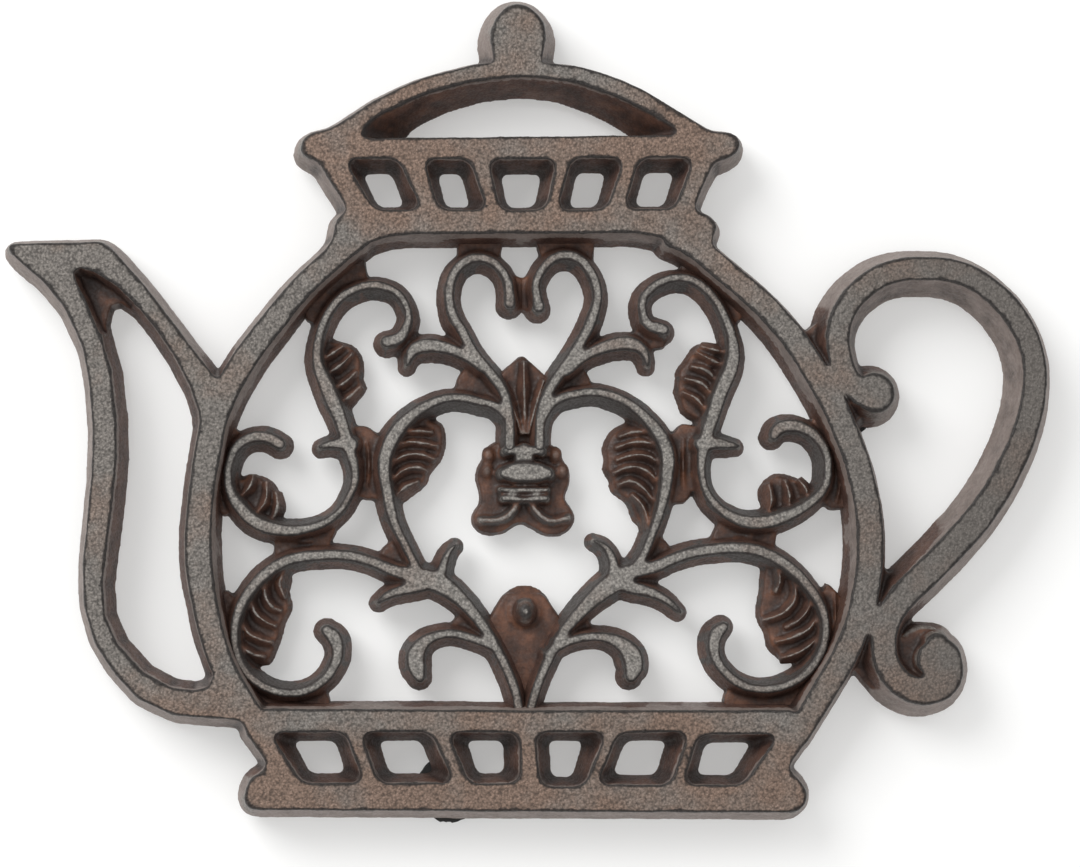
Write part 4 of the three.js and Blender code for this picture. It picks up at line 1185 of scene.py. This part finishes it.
# %% Shared effects
def sand_grain_group():
    """Size in metres of a grain. Gives a height for bump, and a speckle of light and dark."""
    tree = bpy.data.node_groups.new("sand_grain", "ShaderNodeTree")
    tree.interface.new_socket("Grain", in_out="INPUT", socket_type="NodeSocketFloat")
    tree.interface.new_socket("Height", in_out="OUTPUT", socket_type="NodeSocketFloat")
    tree.interface.new_socket("Speckle", in_out="OUTPUT", socket_type="NodeSocketFloat")
    add, link = nodes_of(tree)
    given = add("NodeGroupInput")
    put = add("NodeGroupOutput")
    place = add("ShaderNodeTexCoord").outputs["Object"]
    per_metre = math_node(add, link, "DIVIDE", 1.0, given.outputs["Grain"])
    noise = add("ShaderNodeTexNoise")
    noise.inputs["Detail"].default_value = 3
    noise.inputs["Roughness"].default_value = 0.6
    link(place, noise.inputs["Vector"])
    link(per_metre, noise.inputs["Scale"])
    pits = add("ShaderNodeTexVoronoi", feature="F1")
    link(place, pits.inputs["Vector"])
    link(per_metre, pits.inputs["Scale"])
    grains = math_node(add, link, "MULTIPLY", pits.outputs["Distance"], 0.55)
    height = math_node(add, link, "SUBTRACT", noise.outputs["Fac"], grains)
    link(height, put.inputs["Height"])
    fleck = add("ShaderNodeTexNoise")
    fleck.inputs["Detail"].default_value = 2
    link(place, fleck.inputs["Vector"])
    link(math_node(add, link, "MULTIPLY", per_metre, 0.8), fleck.inputs["Scale"])
    mixed = math_node(add, link, "ADD", math_node(
        add, link, "MULTIPLY", fleck.outputs["Fac"], 0.6), math_node(
        add, link, "MULTIPLY", height, 0.7))
    link(mixed, put.inputs["Speckle"])
    return tree


def patches_group():
    """Slow drifts of tone, from a size in metres and a seed."""
    tree = bpy.data.node_groups.new("patches", "ShaderNodeTree")
    tree.interface.new_socket("Size", in_out="INPUT", socket_type="NodeSocketFloat")
    tree.interface.new_socket("Seed", in_out="INPUT", socket_type="NodeSocketFloat")
    tree.interface.new_socket("Drift", in_out="OUTPUT", socket_type="NodeSocketFloat")
    add, link = nodes_of(tree)
    given = add("NodeGroupInput")
    put = add("NodeGroupOutput")
    noise = add("ShaderNodeTexNoise", noise_dimensions="4D")
    noise.inputs["Detail"].default_value = 4
    noise.inputs["Roughness"].default_value = 0.62
    link(add("ShaderNodeTexCoord").outputs["Object"], noise.inputs["Vector"])
    link(math_node(add, link, "DIVIDE", 1.0, given.outputs["Size"]), noise.inputs["Scale"])
    link(given.outputs["Seed"], noise.inputs["W"])
    link(noise.outputs["Fac"], put.inputs["Drift"])
    return tree


sand_grain = sand_grain_group()
patches = patches_group()
print("shared effects:", sand_grain.name, patches.name)


def effect(add, group, **values):
    node = add("ShaderNodeGroup")
    node.node_tree = group
    for name, value in values.items():
        node.inputs[name].default_value = value
    return node


# %% [markdown]
# The iron is built up in layers, and a mask says where each one shows. The steep sides come first,
# dark where another wall stands near, which is partly the brown wash and partly painted shade.
# Over them go the low webs and leaves, then the raised faces, by height and by how level they are,
# and last the black line round each top, partly soot and partly painted shade.
# Tones are given as they are seen. Two ramps over the iron's place in Y and X make it browner on
# the foot band and the lid, and darker out on the handle.

# %% Tones of the iron
# Sides go from the pale tones in the open to the dark brown near another wall: the brown is partly
# the mould wash and partly painted shade, the pale partly dust and partly painted light.
SIDE_BROWN = ((54, 36, 29), (74, 51, 42), (94, 68, 56))
SIDE_DUST_AND_LIGHT = ((96, 85, 79), (114, 102, 96), (130, 119, 113))
WEB_RUST = ((44, 28, 21), (74, 47, 34), (108, 70, 50))
# The near-black that the hollows are darkened towards.
HOLLOW_DARK = (28, 20, 18)
# A near-black for the line along each top edge: partly soot, partly painted shade where the face
# rolls over into the side.
EDGE_SOOT_AND_SHADE = (22, 18, 17)
HANDLE_GREY = (84, 79, 75)
# How much lighter or darker a top gets with the speckle of its grain.
SPECKLE = ((0.24, 0.74), (0.45, 0.98), (0.68, 1.18))
# Ramps can't run below zero, so a place in X or Y is given here plus half a metre.
PLACE_SHIFT = 0.5
BROWN_ROWS = [(0.43, 0.24), (0.45, 0.0), (0.525, 0.0), (0.54, 0.2), (0.56, 0.17), (0.58, 0.05)]
HANDLE_COLUMNS = [(0.55, 0.0), (0.585, 0.55)]
# The heights in metres over which a low crest goes from dirty to rubbed bright.
CREST_WEAR = (0.0078, 0.0092)


# %% Steep sides
def steep_sides(add, link, narrow, wash_and_shade, open_side):
    """Smooth dark brown where another wall stands near, partly mould wash and partly painted
    shade; dusty and pale in the open, partly dust and partly painted light.
    """
    inner_side = toned(add, link, narrow, (0.34, 0.5, 0.7), SIDE_BROWN)
    outer_side = toned(add, link, narrow, (0.3, 0.5, 0.72), [
        [tone * open_side for tone in colour] for colour in SIDE_DUST_AND_LIGHT])
    # This mask paints shade on sides that face a nearby wall, over the real brown of the wash.
    wash_and_shade_mask = ramp(add, link, wash_and_shade, [(0.02, 0.0), (0.2, 1.0)])
    return blend(add, link, wash_and_shade_mask, outer_side, inner_side)


# %% Raised faces
def speckled(add, link, speckle, tones):
    return ramp(add, link, speckle, [
        (stop, srgb(*[share * tone for tone in tones])) for stop, share in SPECKLE])


def raised_faces(add, link, place, wide, grey, tan):
    """Grey, drifting to brown in patches and by rows, and darker out on the handle."""
    along = ramp(
        add, link, math_node(add, link, "ADD", place.outputs["Y"], PLACE_SHIFT), BROWN_ROWS)
    browner = ramp(add, link, math_node(add, link, "ADD", wide, along), [(0.5, 0.0), (0.72, 1.0)])
    top = blend(add, link, browner, grey, tan)
    darker = ramp(
        add, link, math_node(add, link, "ADD", place.outputs["X"], PLACE_SHIFT), HANDLE_COLUMNS)
    return blend(add, link, darker, top, srgb(*HANDLE_GREY))


def between_heights(add, link, place, low, high, kind="LINEAR"):
    """Zero below one height, one above the other."""
    node = add("ShaderNodeMapRange", interpolation_type=kind)
    link(place.outputs["Z"], node.inputs["Value"])
    node.inputs["From Min"].default_value = low
    node.inputs["From Max"].default_value = high
    return node.outputs["Result"]


# %% Low faces and the black line
def low_faces(add, link, side, narrow, relief, facing_up, place, grey):
    """Webs and leaves: rust on what looks up, darker in the hollows, grey on the high crests."""
    rust = toned(add, link, narrow, (0.32, 0.5, 0.7), WEB_RUST)
    low_up = ramp(add, link, facing_up, [(0.3, 0.0), (0.65, 1.0)])
    body = blend(add, link, low_up, side, rust)
    # Where the relief is low, the colour is darkened towards a near-black.
    hollow = ramp(add, link, relief, [(0.2, 1.0), (0.47, 0.0)])
    body = blend(
        add, link, math_node(add, link, "MULTIPLY", hollow, 0.7), body, srgb(*HOLLOW_DARK))
    crest_mask = ramp(add, link, relief, [(0.66, 0.0), (0.9, 1.0)])
    high = between_heights(add, link, place, *CREST_WEAR)
    crest_mask = math_node(add, link, "MULTIPLY", crest_mask, high)
    return blend(add, link, math_node(add, link, "MULTIPLY", crest_mask, 0.85), body, grey)


def black_line(add, link, colour, facing_up, relief, raised, edge_from, roll_to):
    """Soot and painted shade along a top edge, where the face rolls over into the side."""
    # The roll mask paints shade on the rounded edge between a top face and its side.
    roll = ramp(add, link, facing_up, [
        (0.25, 0.0), (0.45, 1.0), (roll_to - 0.04, 1.0), (roll_to + 0.05, 0.0)])
    rim = ramp(add, link, relief, [(edge_from, 0.0), (edge_from + 0.14, 1.0)])
    line = math_node(add, link, "MAXIMUM", roll, rim)
    line = math_node(add, link, "MULTIPLY", line, raised)
    return blend(
        add, link, math_node(add, link, "MULTIPLY", line, 0.88), colour, srgb(*EDGE_SOOT_AND_SHADE))


# %% The iron
def iron_finish(name, crown, brown_top, grey_top, bump, edge_from, open_side, roll_to):
    """crown: the height of the raised faces. edge_from: the relief at which an edge blackens.

    open_side: how light the sides in the open are. roll_to: where the black edge line ends.
    """
    material = bpy.data.materials.new(name)
    material.use_nodes = True
    tree = material.node_tree
    tree.nodes.clear()
    add, link = nodes_of(tree)
    upright = add("ShaderNodeSeparateXYZ")
    link(add("ShaderNodeNewGeometry").outputs["Normal"], upright.inputs[0])
    facing_up = upright.outputs["Z"]
    place = add("ShaderNodeSeparateXYZ")
    link(add("ShaderNodeTexCoord").outputs["Object"], place.inputs[0])
    relief = add("ShaderNodeAttribute", attribute_name="relief").outputs["Fac"]
    wash_and_shade = add("ShaderNodeAttribute", attribute_name="wash_and_shade").outputs["Fac"]
    grain = effect(add, sand_grain, Grain=0.0005)
    wide = effect(add, patches, Size=0.02, Seed=1.0).outputs["Drift"]
    narrow = effect(add, patches, Size=0.004, Seed=4.0).outputs["Drift"]

    grey, tan = [
        speckled(add, link, grain.outputs["Speckle"], tones) for tones in (grey_top, brown_top)]
    side = steep_sides(add, link, narrow, wash_and_shade, open_side)
    top = raised_faces(add, link, place, wide, grey, tan)
    body = low_faces(add, link, side, narrow, relief, facing_up, place, grey)
    raised = between_heights(
        add, link, place, crown - 0.0014, crown - 0.0004, kind="SMOOTHSTEP")
    flat = ramp(add, link, facing_up, [(roll_to - 0.1, 0.0), (roll_to + 0.03, 1.0)])
    crown_mask = math_node(add, link, "MULTIPLY", raised, flat)
    colour = blend(add, link, crown_mask, body, top)
    colour = black_line(add, link, colour, facing_up, relief, raised, edge_from, roll_to)

    shader = add("ShaderNodeBsdfPrincipled")
    output = add("ShaderNodeOutputMaterial")
    link(shader.outputs["BSDF"], output.inputs["Surface"])
    link(colour, shader.inputs["Base Color"])
    link(math_node(add, link, "MULTIPLY", crown_mask, 0.35), shader.inputs["Metallic"])
    rough = ramp(add, link, grain.outputs["Speckle"], [(0.3, 0.72), (0.6, 0.5)])
    link(rough, shader.inputs["Roughness"])
    lump = add("ShaderNodeBump")
    lump.inputs["Distance"].default_value = 0.00025
    strength = math_node(add, link, "MULTIPLY", crown_mask, bump)
    link(math_node(add, link, "ADD", strength, 0.25), lump.inputs["Strength"])
    link(grain.outputs["Height"], lump.inputs["Height"])
    link(lump.outputs["Normal"], shader.inputs["Normal"])
    print(name, "has", len(tree.nodes), "nodes")
    return material


# %% [markdown]
# The frame stands higher than the scrolls and is browner, with more grain. The scrolls are
# rubbed to a lighter grey, and their sides in the open are darker. One recipe makes both.

# %% The two irons
frame_iron = iron_finish(
    "frame_iron", crown=FRAME_TOP * MM, brown_top=(114, 95, 83), grey_top=(108, 103, 98),
    bump=0.8, edge_from=0.78, open_side=1.0, roll_to=0.9)
scroll_iron = iron_finish(
    "scroll_iron", crown=SCROLL_TOP * MM, brown_top=(112, 97, 88), grey_top=(124, 120, 115),
    bump=0.6, edge_from=0.82, open_side=0.5, roll_to=0.95)


def dress(piece, material):
    piece.data.materials.clear()
    piece.data.materials.append(material)


dress(iron_frame, frame_iron)
for piece in (scrollwork_left, scrollwork_right, middle):
    dress(piece, scroll_iron)


# %% [markdown]
# The rubber is a matt black that gathers grey dust. It uses the same two effects as the iron,
# with a coarser grain.

# %% The rubber
RUBBER_TONES = ((22, 22, 22), (38, 37, 36), (66, 64, 61))


def rubber_finish():
    material = bpy.data.materials.new("foot_rubber")
    material.use_nodes = True
    tree = material.node_tree
    tree.nodes.clear()
    add, link = nodes_of(tree)
    grain = effect(add, sand_grain, Grain=0.0007)
    dust = effect(add, patches, Size=0.005, Seed=9.0).outputs["Drift"]
    black = toned(add, link, dust, (0.35, 0.6, 0.75), RUBBER_TONES)
    shader = add("ShaderNodeBsdfPrincipled")
    output = add("ShaderNodeOutputMaterial")
    link(shader.outputs["BSDF"], output.inputs["Surface"])
    link(black, shader.inputs["Base Color"])
    link(ramp(add, link, dust, [(0.3, 0.62), (0.7, 0.85)]), shader.inputs["Roughness"])
    lump = add("ShaderNodeBump")
    lump.inputs["Distance"].default_value = 0.00012
    lump.inputs["Strength"].default_value = 0.5
    link(grain.outputs["Height"], lump.inputs["Height"])
    link(lump.outputs["Normal"], shader.inputs["Normal"])
    return material


foot_rubber = rubber_finish()
for foot in feet:
    dress(foot, foot_rubber)

# %% [markdown]
# ## Floor, light and camera
# A plain white sheet, one large soft light from the upper left, and a bright, even sky, so that
# the shadows fall short and soft to the right. The sheet glows a little by itself, so that it
# stays white under a modest light.

# %% The floor
SHEET_GLOW = 0.3

bpy.ops.object.select_all(action="DESELECT")
bpy.ops.mesh.primitive_plane_add(size=6)
floor = bpy.context.object
floor.name = "floor"
paper = bpy.data.materials.new("white_sheet")
paper.use_nodes = True
paper_shader = paper.node_tree.nodes["Principled BSDF"]
paper_shader.inputs["Base Color"].default_value = (0.62, 0.62, 0.615, 1)
paper_shader.inputs["Emission Color"].default_value = (1, 1, 0.99, 1)
paper_shader.inputs["Emission Strength"].default_value = SHEET_GLOW
paper_shader.inputs["Roughness"].default_value = 0.9
dress(floor, paper)

# %% Light
SKY_STRENGTH = 0.86
KEY_PLACE = (-0.55, 0.5, 0.75)
KEY_SIZE = 0.6
KEY_WATTS = 8

world = bpy.data.worlds.new("sky")
bpy.context.scene.world = world
world.use_nodes = True
world.node_tree.nodes["Background"].inputs["Color"].default_value = (1, 1, 1, 1)
world.node_tree.nodes["Background"].inputs["Strength"].default_value = SKY_STRENGTH

bpy.ops.object.light_add(type="AREA", location=KEY_PLACE)
key = bpy.context.object
key.name = "key_light"
key.data.size = KEY_SIZE
key.data.energy = KEY_WATTS
key.rotation_euler = (-key.location).to_track_quat("-Z", "Y").to_euler()
print("key light", KEY_WATTS, "W, sky", SKY_STRENGTH)

# %% [markdown]
# The camera stands almost straight above, a little towards the spout and the foot of the pot,
# with a long lens. Its own axes are worked out from where it stands and what it looks at, so
# that the pot's long axis stays level in the picture.

# %% Camera
EYE = Vector((-0.03296, -0.05888, 0.718))
AIM = Vector((0.0024, -0.0047, 0))
SENSOR_WIDTH = 36
FOCAL_LENGTH = 120

back = (EYE - AIM).normalized()
right = Vector((0, 1, 0)).cross(back).normalized()
up = back.cross(right)
bpy.ops.object.camera_add(location=EYE)
camera = bpy.context.object
camera.matrix_world = Matrix.Translation(EYE) @ Matrix((right, up, back)).transposed().to_4x4()
camera.data.sensor_width = SENSOR_WIDTH
camera.data.lens = FOCAL_LENGTH
camera.data.clip_start = 0.01
bpy.context.scene.camera = camera
bpy.context.scene.view_settings.view_transform = "Standard"
print("camera", round((EYE - AIM).length, 3), "m from what it looks at")
